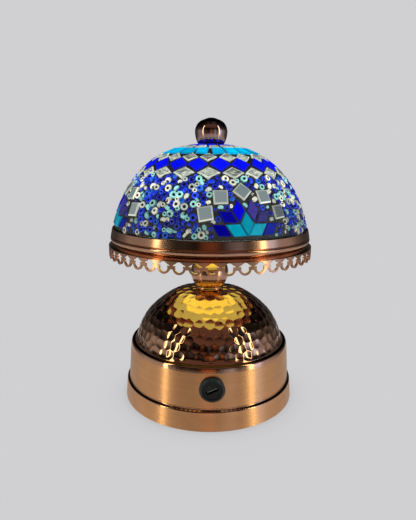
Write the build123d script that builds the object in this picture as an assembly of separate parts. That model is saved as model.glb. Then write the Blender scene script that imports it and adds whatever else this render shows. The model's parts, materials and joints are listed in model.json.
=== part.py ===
"""Rechargeable mosaic glass table lamp: copper base, half-dome shade with glass mosaic, ball finial.

Millimetres. Origin at the centre of the underside, +Z up, charging port towards -Y.
The shade lifts straight off its tray, and the ball finial turns on the shade's stud.
"""
import os
from math import cos, degrees, hypot, pi, radians, sin

from build123d import *

# ---- driving dimensions ------------------------------------------------------------------
SHEET = 0.8                 # wall of the spun copper parts

# base drum: (radius, height) of the outside
SKIRT_FOOT = (58.2, 0.4)
SKIRT_TOP = (57.3, 12.0)
BAND_FOOT = (55.7, 14.4)
BAND_TOP = (54.35, 36.2)
SHOULDER = (53.2, 39.9)
DECK_Z = 40.2               # flat top of the drum that the dome stands on
DECK_HOLE_R = 46.0

# hammered dome: outside, from its foot to the flat seat of the neck
DOME_OUTLINE = [(50.6, 41.8), (47.5, 49.8), (43.1, 57.4), (33.0, 66.9), (22.6, 72.9), (9.6, 74.4)]
DOME_FOOT_R = 51.6
DOME_SEAT_Z = 74.4

# neck
BALL_R = 12.8
BALL_Z = 85.9
FOOT_R = 9.4
FOOT_H = 2.2
SLEEVE_R = 7.0

# centre tube and its hardware
TUBE_R = 5.0
TUBE_BORE_R = 3.6
TUBE_Z = (64.0, 123.0)
NUT_FLATS = 14.0
NUT_H = 4.5
WASHER_H = 1.2

# gallery: fringe and tray that carry the shade
FRINGE_R = 67.1
FRINGE_T = 1.1
FRINGE_TOP_Z = 106.5
FRINGE_COUNT = 46
FRINGE_TURN = 1.0           # degrees that the first loop stands off the front
LOOP_Z = 102.8
LOOP_R = 3.7
LOOP_HOLE_R = 2.45
LINK_Z = 102.0              # underside of the links between two loops
ARCH_Z = 103.9
ARCH_HALF = [(3.7, 103.9), (3.7, 104.25), (2.2, 105.05), (1.0, 106.0), (0.35, 106.2)]
FLANGE_R = 63.9
TRAY_Z = 108.15
TRAY_TOP_Z = 117.6
TRAY_RIM_R = 64.75
TRAY_BORE_R = 57.5
PLATE_Z = TRAY_Z + SHEET + 0.1
PLATE_H = 2.5
PLATE_R = 62.4
SPIDER_Z = PLATE_Z + PLATE_H
SPIDER_H = 1.2
SEAT_H = 1.0

# shade: superellipse of revolution, outside of the mosaic
SHADE_R = 64.6
SHADE_H = 59.3
SHADE_Z = 112.0
POWER_R = 2.437
POWER_Z = 1.677
TILE_T = 2.3
BED_INSET = 2.4
GLASS_INSET = 3.5
GLASS_T = 2.5
GLASS_FOOT_Z = SPIDER_Z + SPIDER_H + SEAT_H + 0.3
MOSAIC_FOOT_Z = 118.0
CROWN_HOLE_R = 9.3

# crown of tiles round the finial: (tiles, arc from the apex, half height, half width, first azimuth)
CROWN_SQUARES = {"tiles_cobalt_star": [(10, 12.6, 3.0, 3.4, 0.0)],
                 "tiles_clear_crown": [(16, 19.7, 3.0, 3.3, 5.0)],
                 "tiles_cyan_ring": [(20, 28.0, 4.3, 3.95, 8.0)]}
CROWN_DIAMONDS = {"tiles_clear_crown": [(20, 37.0, 4.0, 4.7, -2.0), (20, 50.4, 4.0, 6.6, -2.0)],
                  "tiles_cobalt_star": [(20, 43.9, 5.4, 5.7, 7.0)]}
CROWN_EDGE_S = 55.2         # arc from the apex where the bead field starts

# half-flower medallions on the rim
MEDALLIONS = 4
MEDALLION_AZ = 19.0
MEDALLION_S = 90.2
RHOMB = 8.5
TILE_GAP = 0.8
MIRROR_SIDE = 8.5
MIRROR_R = 26.3
MIRROR_TURNS = {30: 4.0, 60: 2.0, 90: 45.0, 120: -2.0, 150: 13.0}
MEDALLION_R = 32.0
BEAD_H = 2.2

# finial
FINIAL_R = 10.5
FINIAL_Z = 179.1            # height where the ball is widest
FINIAL_RISE = 8.3           # its flatter upper half
FINIAL_DROP = 13.5          # half height of the fuller lower half, cut off by its seat
STUD_R = 3.0
STUD_Z = (159.0, 183.5)

# charging port
PORT_X = 2.1
PORT_Z = 26.45
PORT_R = 7.9
PORT_BEVEL = 1.4
PORT_BARREL_R = 5.9
PORT_TILT = 23.0
PORT_FACE_Y = -57.3
PORT_SEAT_Y = -55.45
PORT_REAR_Y = -43.0
PORT_ROOT = 1.5             # how far the contacts' block stands out of the barrel's rear
SLOT_W = 8.34
SLOT_H = 2.56
SLOT_WALL = 0.3

# bottom of the base
PAD_R = 55.0
PAD_H = 1.6
BASE_PLATE_R = 56.0
BASE_PLATE_H = 1.6
BASE_PLATE_TOP = PAD_H + BASE_PLATE_H
SCREW_CIRCLE_R = 50.0
SCREW_ANGLES = (90, 210, 330)

# electrics on the bottom plate
CELL_R = 9.15
CELL_L = 65.0
CELL_Y = 20.0
CELL_Z = BASE_PLATE_TOP + 2.0 + CELL_R + 0.2
BOARD_W = 36.0
BOARD_D = 22.0
BOARD_T = 1.6
BOARD_Y = -22.0
BOARD_Z = 9.2
BOARD_HOLES = [(-15, -29), (15, -29), (-15, -15), (15, -15)]
PLUG_H = 4.6
PLUGS = {"cell": (-9.5, -14.5, 6.0, 4.0), "port": (9.0, -29.5, 6.0, 4.0), "lamp": (7.5, -14.0, 5.0, 3.6)}
LED_BOARD_R = 30.0
LED_BOARD_Z = SPIDER_Z + SPIDER_H + 1.0
LED_BOARD_T = 1.6


# ---- helpers -----------------------------------------------------------------------------
def write(node, *solids):
    """One STEP per node, its solids kept separate."""
    shape = solids[0] if len(solids) == 1 else Compound(children=list(solids))
    shape.label = node
    export_step(shape, f"parts/{node}.step")


def spun(*edges):
    """A closed outline of edges in (radius, height), turned about Z."""
    return revolve(Plane.XZ * make_face(list(edges)), Axis.Z)


def ring(r_out, r_in, z_low, z_high):
    outline = Polyline((r_in, z_low), (r_out, z_low), (r_out, z_high), (r_in, z_high), close=True)
    return spun(outline)


def disc(radius, z_low, z_high):
    return Pos(0, 0, z_low) * extrude(Circle(radius), z_high - z_low)


def block(x, y, z, width, depth, height):
    """A box standing on z."""
    return Pos(x, y, z) * extrude(Rectangle(width, depth), height)


def offset_points(points, distance):
    """The same outline, moved to its inner side, for a sheet of that thickness."""
    moved = []
    for i, (r, z) in enumerate(points):
        before = points[max(i - 1, 0)]
        after = points[min(i + 1, len(points) - 1)]
        dr, dz = after[0] - before[0], after[1] - before[1]
        size = hypot(dr, dz)
        moved.append((r - distance * dz / size, z + distance * dr / size))
    return moved


def hex_nut(z, height=NUT_H, flats=NUT_FLATS, bore=TUBE_R + 0.05):
    body = extrude(RegularPolygon(flats / 2, 6, major_radius=False), height)
    body -= extrude(Circle(bore), height)
    return Pos(0, 0, z) * body


def lead(points, radii, radius):
    """A wire held along straight runs and tangent arcs."""
    path = FilletPolyline(*points, radius=radii)
    return sweep(Plane(origin=path @ 0, z_dir=path % 0) * Circle(radius), path=path)


def shade_point(angle, inset):
    """A point of the shade's section, inset from the mosaic's outside; angle pi/2 is the apex."""
    c, s = max(cos(angle), 1e-9), max(sin(angle), 1e-9)
    r = SHADE_R * c ** (2 / POWER_R)
    z = SHADE_Z + SHADE_H * s ** (2 / POWER_Z)
    nr = POWER_R / SHADE_R * (r / SHADE_R) ** (POWER_R - 1)
    nz = POWER_Z / SHADE_H * ((z - SHADE_Z) / SHADE_H) ** (POWER_Z - 1)
    size = hypot(nr, nz)
    return (r - inset * nr / size, z - inset * nz / size), (nr / size, nz / size)


def last_angle(test):
    """The largest angle from the foot up for which the test still holds."""
    low, high = 0.0, pi / 2
    for _ in range(50):
        middle = (low + high) / 2
        low, high = (middle, high) if test(middle) else (low, middle)
    return low


def shade_radius(inset, z):
    """Radius of the section at a height."""
    return shade_point(last_angle(lambda a: shade_point(a, inset)[0][1] < z), inset)[0][0]


def shade_curve(inset, r_top, z_foot, count=15):
    """Section points from the foot at height z_foot to the radius r_top near the apex."""
    first = last_angle(lambda a: shade_point(a, inset)[0][1] < z_foot)
    last = last_angle(lambda a: shade_point(a, inset)[0][0] > r_top)
    return [shade_point(first + (last - first) * i / (count - 1), inset)[0] for i in range(count)]


def shade_shell(inset_out, inset_in, r_top, z_foot):
    """A dome shell between two insets, with a hole of r_top at the apex."""
    outer = shade_curve(inset_out, r_top, z_foot)
    inner = shade_curve(inset_in, r_top, z_foot)
    return spun(Spline(*outer), Line(outer[-1], inner[-1]), Spline(*inner), Line(inner[0], outer[0]))


def arc_table(steps=2000):
    """Arc length from the apex along the mosaic's outside, with its points and normals."""
    table = []
    length = 0.0
    last = None
    for i in range(steps + 1):
        point, normal = shade_point(pi / 2 * (1 - i / steps), 0.0)
        if last is not None:
            length += hypot(point[0] - last[0], point[1] - last[1])
        last = point
        table.append((length, point, normal))
    return table


ARC = arc_table()


def on_bed(s, azimuth):
    """Plane tangent to the bed, arc length s from the apex: x along the rim, y up the dome, z outward."""
    _, (r, z), (nr, nz) = min(ARC, key=lambda row: abs(row[0] - s))
    r, z = r - BED_INSET * nr, z - BED_INSET * nz
    a = radians(azimuth)
    radial, along = Vector(sin(a), -cos(a), 0), Vector(cos(a), sin(a), 0)
    normal = radial * nr + Vector(0, 0, nz)
    return Plane(origin=radial * r + Vector(0, 0, z), x_dir=along, z_dir=normal), r


def tile(s, azimuth, corners):
    """A flat glass tile bedded on the dome; corners in millimetres about its centre."""
    plane, _ = on_bed(s, azimuth)
    face = make_face(Polyline(*corners, close=True))
    return plane * Pos(0, 0, 0.05) * extrude(face, TILE_T - 0.05)


# ---- base --------------------------------------------------------------------------------
def base_drum():
    """Spun drum: straight skirt, rounded step, brushed band, turned-in deck; hole for the port."""
    t = SHEET
    step = [(SKIRT_TOP[0] - 0.45, SKIRT_TOP[1] + 0.8), (BAND_FOOT[0] + 0.35, BAND_FOOT[1] - 1.3)]
    body = spun(Line(SKIRT_FOOT, SKIRT_TOP),
                Spline(SKIRT_TOP, *step, BAND_FOOT),
                Line(BAND_FOOT, BAND_TOP),
                Spline(BAND_TOP, (54.0, 38.4), SHOULDER, (52.2, DECK_Z)),
                Line((52.2, DECK_Z), (DECK_HOLE_R, DECK_Z)),
                Line((DECK_HOLE_R, DECK_Z), (DECK_HOLE_R, DECK_Z - t)),
                Line((DECK_HOLE_R, DECK_Z - t), (52.0, DECK_Z - t)),
                Spline((52.0, DECK_Z - t), (52.9, 38.7), (BAND_TOP[0] - t, BAND_TOP[1])),
                Line((BAND_TOP[0] - t, BAND_TOP[1]), (BAND_FOOT[0] - t, BAND_FOOT[1] - t)),
                Line((BAND_FOOT[0] - t, BAND_FOOT[1] - t), (SKIRT_TOP[0] - t, SKIRT_TOP[1] - t)),
                Line((SKIRT_TOP[0] - t, SKIRT_TOP[1] - t), (SKIRT_FOOT[0] - t, SKIRT_FOOT[1])),
                Line((SKIRT_FOOT[0] - t, SKIRT_FOOT[1]), SKIRT_FOOT))
    hole = Pos(PORT_X, PORT_SEAT_Y - 4, PORT_Z) * Rot(-90, 0, 0) * extrude(Circle(PORT_BARREL_R + 0.1), 10)
    write("base_drum", body - hole)


def hammered_dome():
    """The dome that stands on the deck, with a small flare at its foot and a flat seat on top."""
    inner = offset_points(DOME_OUTLINE, SHEET)
    inner[-1] = (DOME_OUTLINE[-1][0], DOME_SEAT_Z - SHEET)
    foot_in = (DOME_FOOT_R - SHEET - 0.3, DECK_Z + 0.02)
    bore = TUBE_R + 0.15
    body = spun(Spline((DOME_FOOT_R, DECK_Z + 0.02), *DOME_OUTLINE, tangents=[(-0.3, 1), (-1, 0)]),
                Line(DOME_OUTLINE[-1], (bore, DOME_SEAT_Z)),
                Line((bore, DOME_SEAT_Z), (bore, DOME_SEAT_Z - SHEET)),
                Line((bore, DOME_SEAT_Z - SHEET), inner[-1]),
                Spline(foot_in, *inner, tangents=[(-0.3, 1), (-1, 0)]),
                Line(foot_in, (DOME_FOOT_R, DECK_Z + 0.02)))
    write("hammered_dome", body)


def neck():
    """Foot ring, hollow ball and sleeve, threaded over the centre tube."""
    bore = TUBE_R + 0.1
    foot_low, foot_high = DOME_SEAT_Z, DOME_SEAT_Z + FOOT_H
    foot = ring(FOOT_R, bore, foot_low, foot_high)
    foot = fillet(foot.edges().filter_by(GeomType.CIRCLE).group_by(SortBy.RADIUS)[-1], 0.9)
    write("neck_foot", foot)

    seat_r = (BALL_R ** 2 - (BALL_Z - foot_high) ** 2) ** 0.5
    top_z = BALL_Z + (BALL_R ** 2 - SLEEVE_R ** 2) ** 0.5
    in_r = BALL_R - SHEET
    low_in, high_in = foot_high + SHEET, top_z - SHEET
    low_r = (in_r ** 2 - (BALL_Z - low_in) ** 2) ** 0.5
    high_r = (in_r ** 2 - (high_in - BALL_Z) ** 2) ** 0.5
    ball = spun(ThreePointArc((seat_r, foot_high), (BALL_R, BALL_Z), (SLEEVE_R, top_z)),
                Line((SLEEVE_R, top_z), (bore, top_z)),
                Line((bore, top_z), (bore, high_in)),
                Line((bore, high_in), (high_r, high_in)),
                ThreePointArc((high_r, high_in), (in_r, BALL_Z), (low_r, low_in)),
                Line((low_r, low_in), (bore, low_in)),
                Line((bore, low_in), (bore, foot_high)),
                Line((bore, foot_high), (seat_r, foot_high)))
    write("neck_ball", ball)
    write("neck_sleeve", ring(SLEEVE_R, bore, top_z, PLATE_Z))


def centre_hardware():
    """Threaded tube, its two nuts, the washers, the wire bushes and the touch terminal."""
    write("threaded_tube", ring(TUBE_R, TUBE_BORE_R, *TUBE_Z))
    washer_z = DOME_SEAT_Z - SHEET - WASHER_H
    terminal_z = washer_z - 0.8
    upper_z = LED_BOARD_Z + LED_BOARD_T + 0.8
    write("tube_nuts", hex_nut(terminal_z - NUT_H), hex_nut(upper_z))
    write("tube_washer", ring(9.0, TUBE_R + 0.1, washer_z, washer_z + WASHER_H))
    eyelet = ring(7.6, TUBE_R + 0.1, terminal_z, terminal_z + 0.8)
    tag = block(10.5, 0, terminal_z, 7.0, 3.2, 0.8)
    write("touch_terminal", eyelet + tag)
    write("insulating_washers", ring(9.0, TUBE_R + 0.1, LED_BOARD_Z - 1.0, LED_BOARD_Z),
          ring(9.0, TUBE_R + 0.1, LED_BOARD_Z + LED_BOARD_T, upper_z))
    bushes = []
    for z, direction in ((TUBE_Z[0], -1), (TUBE_Z[1], 1)):
        lip = sorted((z, z + 0.8 * direction))
        stem = sorted((z, z - 4.0 * direction))
        bushes.append(ring(TUBE_R, 1.6, *lip) + ring(TUBE_BORE_R, 1.6, *stem))
    write("tube_bushes", *bushes)


# ---- gallery -----------------------------------------------------------------------------
def gallery_fringe():
    """Sloping flange with an openwork hoop: a peaked arch over an open loop, repeated round the rim."""
    low, inner = LOOP_Z - LOOP_R, FRINGE_R - FRINGE_T
    flange_z = TRAY_Z - 0.05
    hoop = spun(Polyline((FRINGE_R, low), (FRINGE_R, FRINGE_TOP_Z),
                         (FLANGE_R, flange_z), (TRAY_BORE_R, flange_z),
                         (TRAY_BORE_R, flange_z - SHEET), (FLANGE_R - 0.3, flange_z - SHEET),
                         (inner, FRINGE_TOP_Z - 0.6), (inner, low), close=True))
    neck_w, neck_h = 1.6 * LOOP_HOLE_R, ARCH_Z - LOOP_Z + 0.2
    window = Pos(0, LOOP_Z) * Circle(LOOP_HOLE_R)
    window += Pos(0, LOOP_Z + neck_h / 2) * Rectangle(neck_w, neck_h)
    window += make_face(Polyline(*ARCH_HALF, *[(-x, z) for x, z in reversed(ARCH_HALF)], close=True))
    pitch = 2 * pi * FRINGE_R / FRINGE_COUNT
    below = LINK_Z - low + 1.0
    gap = Pos(0, LINK_Z - below / 2) * Rectangle(pitch - 0.3, below)
    for side in (-1, 1):
        gap -= Pos(side * pitch / 2, LOOP_Z) * Circle(LOOP_R)
    upright = Plane(origin=(0, 0, 0), x_dir=(1, 0, 0), z_dir=(0, -1, 0))
    for shape, turn in ((window, 0), (gap, 0.5)):
        cutter = upright * Pos(0, 0, inner - 0.5) * extrude(shape, FRINGE_T + 2)
        step = 360 / FRINGE_COUNT
        hoop = hoop.cut(*[Rot(0, 0, FRINGE_TURN + step * (i + turn)) * cutter for i in range(FRINGE_COUNT)])
    write("gallery_fringe", hoop)


def gallery_tray():
    """Tray with a rolled bead below a straight rim band; the shade drops inside the band."""
    bead = [(64.5, TRAY_Z + 0.4), (65.5, TRAY_Z + 1.6), (65.85, TRAY_Z + 2.9), (65.5, TRAY_Z + 4.0)]
    bead_in = [(65.0, TRAY_Z + 2.9), (64.7, TRAY_Z + 2.0), (63.2, TRAY_Z + SHEET)]
    groove, face = (65.05, TRAY_Z + 4.4), (65.6, TRAY_Z + 4.8)
    t = SHEET
    lip, lip_in = (TRAY_RIM_R, TRAY_TOP_Z - 0.3), (TRAY_RIM_R - t, TRAY_TOP_Z - 0.3)
    body = spun(Line((TRAY_BORE_R, TRAY_Z), (63.4, TRAY_Z)),
                Spline((63.4, TRAY_Z), *bead, groove),
                Line(groove, face),
                Line(face, lip),
                ThreePointArc(lip, (TRAY_RIM_R - t / 2, TRAY_TOP_Z + 0.05), lip_in),
                Line(lip_in, (face[0] - t, face[1])),
                Line((face[0] - t, face[1]), (groove[0] - t, groove[1])),
                Spline((groove[0] - t, groove[1]), *bead_in),
                Line(bead_in[-1], (TRAY_BORE_R, TRAY_Z + t)),
                Line((TRAY_BORE_R, TRAY_Z + t), (TRAY_BORE_R, TRAY_Z)))
    write("gallery_tray", body)


def tray_fittings():
    """Glowing plate on the tray floor, the three-armed spider over it, and the shade's soft seat."""
    write("diffuser_plate", ring(PLATE_R, TUBE_R + 0.15, PLATE_Z, PLATE_Z + PLATE_H))
    spider = ring(63.6, 59.4, SPIDER_Z, SPIDER_Z + SPIDER_H) + disc(12, SPIDER_Z, SPIDER_Z + SPIDER_H)
    for i in range(3):
        spider += Rot(0, 0, 120 * i) * block(36, 0, SPIDER_Z, 50, 8, SPIDER_H)
    spider -= disc(TUBE_R + 0.1, SPIDER_Z, SPIDER_Z + SPIDER_H)
    write("tray_spider", spider)
    seat_z = SPIDER_Z + SPIDER_H
    write("shade_seat_ring", ring(63.4, 59.6, seat_z, seat_z + SEAT_H))


def led_module():
    """Round aluminium-core board with chips on both faces, so it lights shade and plate."""
    write("led_board", ring(LED_BOARD_R, TUBE_R + 0.1, LED_BOARD_Z, LED_BOARD_Z + LED_BOARD_T))
    top = LED_BOARD_Z + LED_BOARD_T
    upper = [Rot(0, 0, 30 * i) * block(23, 0, top, 3.5, 2.8, 0.9) for i in range(12)]
    lower = []
    for i in range(9):
        turn = 60 + 120 * (i // 3) + 22 * (i % 3 - 1)
        lower.append(Rot(0, 0, turn) * block(25, 0, LED_BOARD_Z - 0.9, 3.5, 2.8, 0.9))
    write("leds_upper", *upper)
    write("leds_lower", *lower)


# ---- shade -------------------------------------------------------------------------------
def shade_body():
    """Blown half-dome, the dark bed on it, and the plaster that fills between glass and rim band."""
    write("shade_glass", shade_shell(GLASS_INSET + 0.02, GLASS_INSET + GLASS_T, STUD_R + 0.3, GLASS_FOOT_Z))
    write("mosaic_bed", shade_shell(BED_INSET, GLASS_INSET, CROWN_HOLE_R, MOSAIC_FOOT_Z - 0.6))
    fill_r, low, high = 63.4, GLASS_FOOT_Z + 0.4, MOSAIC_FOOT_Z - 0.7
    inner = [(shade_radius(GLASS_INSET, z), z) for z in (low, (low + high) / 2, high)]
    write("rim_plaster", spun(Spline(*inner), Line(inner[-1], (fill_r, high)),
                              Line((fill_r, high), (fill_r, low)), Line((fill_r, low), inner[0])))


def diamond(half_h, half_w):
    return [(0, half_h), (half_w, 0), (0, -half_h), (-half_w, 0)]


def square(half_h, half_w, taper):
    """A tile whose upper side is shorter, so that a ring of them closes on the dome."""
    return [(-half_w * taper, half_h), (half_w * taper, half_h), (half_w, -half_h), (-half_w, -half_h)]


def medallion_rhomb(origin, low_angle):
    """60-degree rhomb with one corner at origin, its sides towards low_angle and 60 degrees on."""
    sides = [(RHOMB * cos(radians(a)), RHOMB * sin(radians(a))) for a in (low_angle, low_angle + 60)]
    corners = [origin, (origin[0] + sides[0][0], origin[1] + sides[0][1])]
    corners.append((corners[1][0] + sides[1][0], corners[1][1] + sides[1][1]))
    corners.append((origin[0] + sides[1][0], origin[1] + sides[1][1]))
    return corners


def medallion_shapes():
    """Node name and corners of each tile of a half flower, about the middle of its lower edge."""
    lift = 0.5
    shapes = []
    for a in (0, 60, 120):
        shapes.append(("tiles_turquoise", medallion_rhomb((0, lift), a)))
    for notch, starts in ((0, (0,)), (60, (0, 60)), (120, (60, 120)), (180, (120,))):
        origin = (RHOMB * cos(radians(notch)), lift + RHOMB * sin(radians(notch)))
        for start in starts:
            shapes.append(("tiles_cobalt_flower", medallion_rhomb(origin, start)))
    half = MIRROR_SIDE / 2
    for around, turn in MIRROR_TURNS.items():
        centre = (MIRROR_R * cos(radians(around)), lift + MIRROR_R * sin(radians(around)))
        corners = []
        for k in range(4):
            a = radians(45 + 90 * k + turn)
            corners.append((centre[0] + half * 1.414 * cos(a), centre[1] + half * 1.414 * sin(a)))
        shapes.append(("tiles_mirror", corners))
    return shapes


def shrink(corners, centre, gap):
    """Corners about their centre, each side moved in by about half the gap."""
    about = [(x - centre[0], y - centre[1]) for x, y in corners]
    keep = 1 - gap / min(hypot(x, y) for x, y in about)
    return [(x * keep, y * keep) for x, y in about]


def mosaic():
    """All tiles, grouped in nodes by colour, and the bead field between them."""
    groups = {}
    for node, rows in CROWN_SQUARES.items():
        for count, s, half_h, half_w, first in rows:
            taper = max(0.45, 1 - half_h / s * 1.1)
            for i in range(count):
                made = tile(s, first + 360 / count * i, square(half_h, half_w, taper))
                groups.setdefault(node, []).append(made)
    for node, rows in CROWN_DIAMONDS.items():
        for count, s, half_h, half_w, first in rows:
            for i in range(count):
                made = tile(s, first + 360 / count * i, diamond(half_h, half_w))
                groups.setdefault(node, []).append(made)
    for m in range(MEDALLIONS):
        for node, corners in medallion_shapes():
            cx = sum(x for x, _ in corners) / 4
            cy = sum(y for _, y in corners) / 4
            s = MEDALLION_S - cy
            _, r = on_bed(s, 0)
            azimuth = MEDALLION_AZ + 360 / MEDALLIONS * m + degrees(cx / r)
            groups.setdefault(node, []).append(tile(s, azimuth, shrink(corners, (cx, cy), TILE_GAP)))
    for node, solids in groups.items():
        write(node, *solids)
    return groups


def bead_field():
    """The layer of seed beads: a shell from the crown to the rim, open at the medallions."""
    top_r = min(ARC, key=lambda row: abs(row[0] - CROWN_EDGE_S))[1][0]
    layer = shade_shell(BED_INSET - BEAD_H, BED_INSET - 0.05, top_r, MOSAIC_FOOT_Z)
    for m in range(MEDALLIONS):
        plane, _ = on_bed(MEDALLION_S, MEDALLION_AZ + 360 / MEDALLIONS * m)
        layer -= plane * Pos(0, 0, -12) * extrude(Circle(MEDALLION_R), 30)
    write("seed_beads", *layer.solids())


def finial():
    """Flattened ball on a stud through the glass, with soft and metal washers and the nut inside."""
    glass_top = SHADE_Z + SHADE_H - GLASS_INSET
    glass_under = glass_top - GLASS_T
    pad_top = glass_top + 0.6
    flat_z = pad_top + 0.3
    flat_r = FINIAL_R * (1 - ((FINIAL_Z - flat_z) / FINIAL_DROP) ** 2) ** 0.5
    bore, bore_top = STUD_R + 0.05, STUD_Z[1] + 0.5
    top = FINIAL_Z + FINIAL_RISE
    lower = [(FINIAL_R * (1 - (drop / FINIAL_DROP) ** 2) ** 0.5, FINIAL_Z - drop)
             for drop in (8.0, 5.0, 2.5)]
    upper = [(FINIAL_R * cos(radians(a)), FINIAL_Z + FINIAL_RISE * sin(radians(a))) for a in (0, 25, 50, 75)]
    ball = spun(Spline((flat_r, flat_z), *lower, *upper, (0, top), tangents=[(1, 1.35), (-1, 0)]),
                Line((0, top), (0, bore_top)),
                Line((0, bore_top), (bore, bore_top)),
                Line((bore, bore_top), (bore, flat_z)),
                Line((bore, flat_z), (flat_r, flat_z)))
    write("finial_ball", ball)
    write("finial_stud", disc(STUD_R, *STUD_Z))
    write("stud_pads", ring(7.5, STUD_R + 0.05, glass_top + 0.02, pad_top),
          ring(8.0, STUD_R + 0.05, glass_under - 1.7, glass_under - 0.5))
    write("stud_washer", ring(8.0, STUD_R + 0.05, glass_under - 2.7, glass_under - 1.7))
    write("stud_nut", hex_nut(glass_under - 6.7, 4.0, 10.0, STUD_R))


# ---- charging port -----------------------------------------------------------------------
def at_port(y):
    """Placing on the port's axis: x across the lamp, y up, z out through the wall."""
    return Plane(origin=(PORT_X, y, PORT_Z), x_dir=(1, 0, 0), z_dir=(0, -1, 0))


def charging_port():
    """Round panel socket: flange, barrel, metal receptacle, tongue, indicator lens and ring nut."""
    depth = PORT_SEAT_Y - PORT_FACE_Y
    flange = at_port(PORT_SEAT_Y) * extrude(Circle(PORT_R), depth)
    flange = chamfer(flange.edges().filter_by(GeomType.CIRCLE).sort_by(Axis.Y)[0], PORT_BEVEL)
    dish = at_port(PORT_FACE_Y + 0.35) * extrude(Circle(PORT_BARREL_R - 0.4), 1)
    barrel = at_port(PORT_REAR_Y) * extrude(Circle(PORT_BARREL_R), PORT_REAR_Y - PORT_SEAT_Y)
    shell_w, shell_h = SLOT_W + 2 * SLOT_WALL, SLOT_H + 2 * SLOT_WALL
    tilt = Rot(0, 0, PORT_TILT)
    pocket = at_port(PORT_REAR_Y + 2) * tilt * extrude(SlotOverall(shell_w, shell_h), 20)
    eye = tilt * Pos(-0.4, 3.1, 0)
    lens_hole = at_port(PORT_REAR_Y + 2) * eye * extrude(Circle(0.75), 20)
    write("port_housing", flange + barrel - dish - pocket - lens_hole)
    front = PORT_FACE_Y + 0.5
    rear = PORT_REAR_Y + 1
    shell = at_port(rear) * tilt * extrude(SlotOverall(shell_w, shell_h), rear - front)
    cavity = at_port(rear + 1) * tilt * extrude(SlotOverall(SLOT_W, SLOT_H), 20)
    write("port_receptacle", shell - cavity)
    root_y, root_l = PORT_REAR_Y + PORT_ROOT, 3.5
    root = at_port(root_y) * tilt * extrude(SlotOverall(SLOT_W - 0.02, SLOT_H - 0.02), root_l)
    blade_l = root_y - root_l - front - 0.9
    blade = at_port(root_y - root_l) * tilt * extrude(Rectangle(6.7, 0.7), blade_l)
    write("port_tongue", root + blade)
    lens = at_port(PORT_REAR_Y + 1) * eye * extrude(Circle(0.7), PORT_REAR_Y + 1 - (PORT_FACE_Y + 0.25))
    write("port_indicator", lens)
    nut = extrude(Circle(8.4) - Circle(PORT_BARREL_R + 0.03), 3.0)
    write("port_nut", at_port(-49.8) * nut)


# ---- inside the base ---------------------------------------------------------------------
def screw_places():
    return [(SCREW_CIRCLE_R * cos(radians(a)), SCREW_CIRCLE_R * sin(radians(a))) for a in SCREW_ANGLES]


def bottom():
    """Felt pad, steel plate, the brackets inside the skirt and the screws that join them."""
    pad = disc(PAD_R, 0, PAD_H)
    plate = disc(BASE_PLATE_R, PAD_H, BASE_PLATE_TOP)
    screws = []
    brackets = []
    foot_h = 1.2
    for (x, y), turn in zip(screw_places(), SCREW_ANGLES):
        pad -= Pos(x, y, 0.4) * extrude(Circle(3.2), PAD_H)
        plate -= Pos(x, y, 0) * extrude(Circle(1.7), 9)
        head = Pos(x, y, 0.5) * extrude(Circle(2.8), PAD_H - 0.5)
        screws.append(head + Pos(x, y, PAD_H) * extrude(Circle(1.5), 5.4))
        outline = Polyline((45.5, BASE_PLATE_TOP), (56.2, BASE_PLATE_TOP), (56.0, 10.0), (54.8, 10.0),
                           (54.8, BASE_PLATE_TOP + foot_h), (45.5, BASE_PLATE_TOP + foot_h), close=True)
        bracket = revolve(Plane.XZ * make_face(outline), Axis.Z, 12)
        bracket = Rot(0, 0, turn - 6) * bracket
        brackets.append(bracket - Pos(x, y, 0) * extrude(Circle(1.55), 9))
    write("felt_pad", pad)
    write("bottom_plate", plate)
    write("bottom_screws", *screws)
    write("base_brackets", *brackets)


def battery():
    """Round lithium cell lying across the back of the base, in a holder with spring contacts."""
    along = Plane(origin=(-CELL_L / 2, CELL_Y, CELL_Z), x_dir=(0, 1, 0), z_dir=(1, 0, 0))
    cell = fillet((along * extrude(Circle(CELL_R), CELL_L)).edges(), 0.5)
    cap = along * Pos(0, 0, CELL_L) * extrude(Circle(2.8), 0.9)
    write("battery_cell", cell + cap)
    inner_l = CELL_L + 3.2
    tray = block(0, CELL_Y, BASE_PLATE_TOP, inner_l + 3.6, 21.6, 15.0)
    trough = Plane(origin=(-inner_l / 2, CELL_Y, CELL_Z), x_dir=(0, 1, 0), z_dir=(1, 0, 0))
    tray -= trough * extrude(Circle(CELL_R + 0.2), inner_l)
    tray -= block(0, CELL_Y, CELL_Z, inner_l, 2 * CELL_R + 0.4, 20)
    write("battery_holder", tray)
    plus = block(CELL_L / 2 + 1.25, CELL_Y, CELL_Z - 6, 0.6, 9.0, 12.0)
    minus = block(-CELL_L / 2 - 0.7, CELL_Y, CELL_Z - 6, 0.6, 9.0, 12.0)
    write("battery_contacts", plus, minus)


def charge_board():
    """Board that charges the cell, senses touch and drives the lamp, on four pillars."""
    board = block(0, BOARD_Y, BOARD_Z, BOARD_W, BOARD_D, BOARD_T)
    pillars = []
    screws = []
    top = BOARD_Z + BOARD_T
    for x, y in BOARD_HOLES:
        board -= Pos(x, y, 0) * extrude(Circle(1.2), 20)
        pillar = Pos(x, y, BASE_PLATE_TOP) * extrude(Circle(2.4) - Circle(1.0), BOARD_Z - BASE_PLATE_TOP)
        pillars.append(pillar)
        head = Pos(x, y, top) * extrude(Circle(2.1), 1.3)
        screws.append(head + Pos(x, y, top - 4.6) * extrude(Circle(0.95), 4.6))
    write("charge_board", board)
    write("board_pillars", *pillars)
    write("board_screws", *screws)
    chips = [block(-6, -22, top, 5, 4, 1.6), block(3, -24, top, 4, 4, 1.4), block(9, -18, top, 3, 3, 1.2)]
    coil = Pos(-1, -16, top) * extrude(Circle(2.9), 3.2)
    write("board_chips", *chips, coil)
    plugs = [block(x, y, top, width, depth, PLUG_H) for x, y, width, depth in PLUGS.values()]
    write("board_connectors", *plugs)


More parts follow.
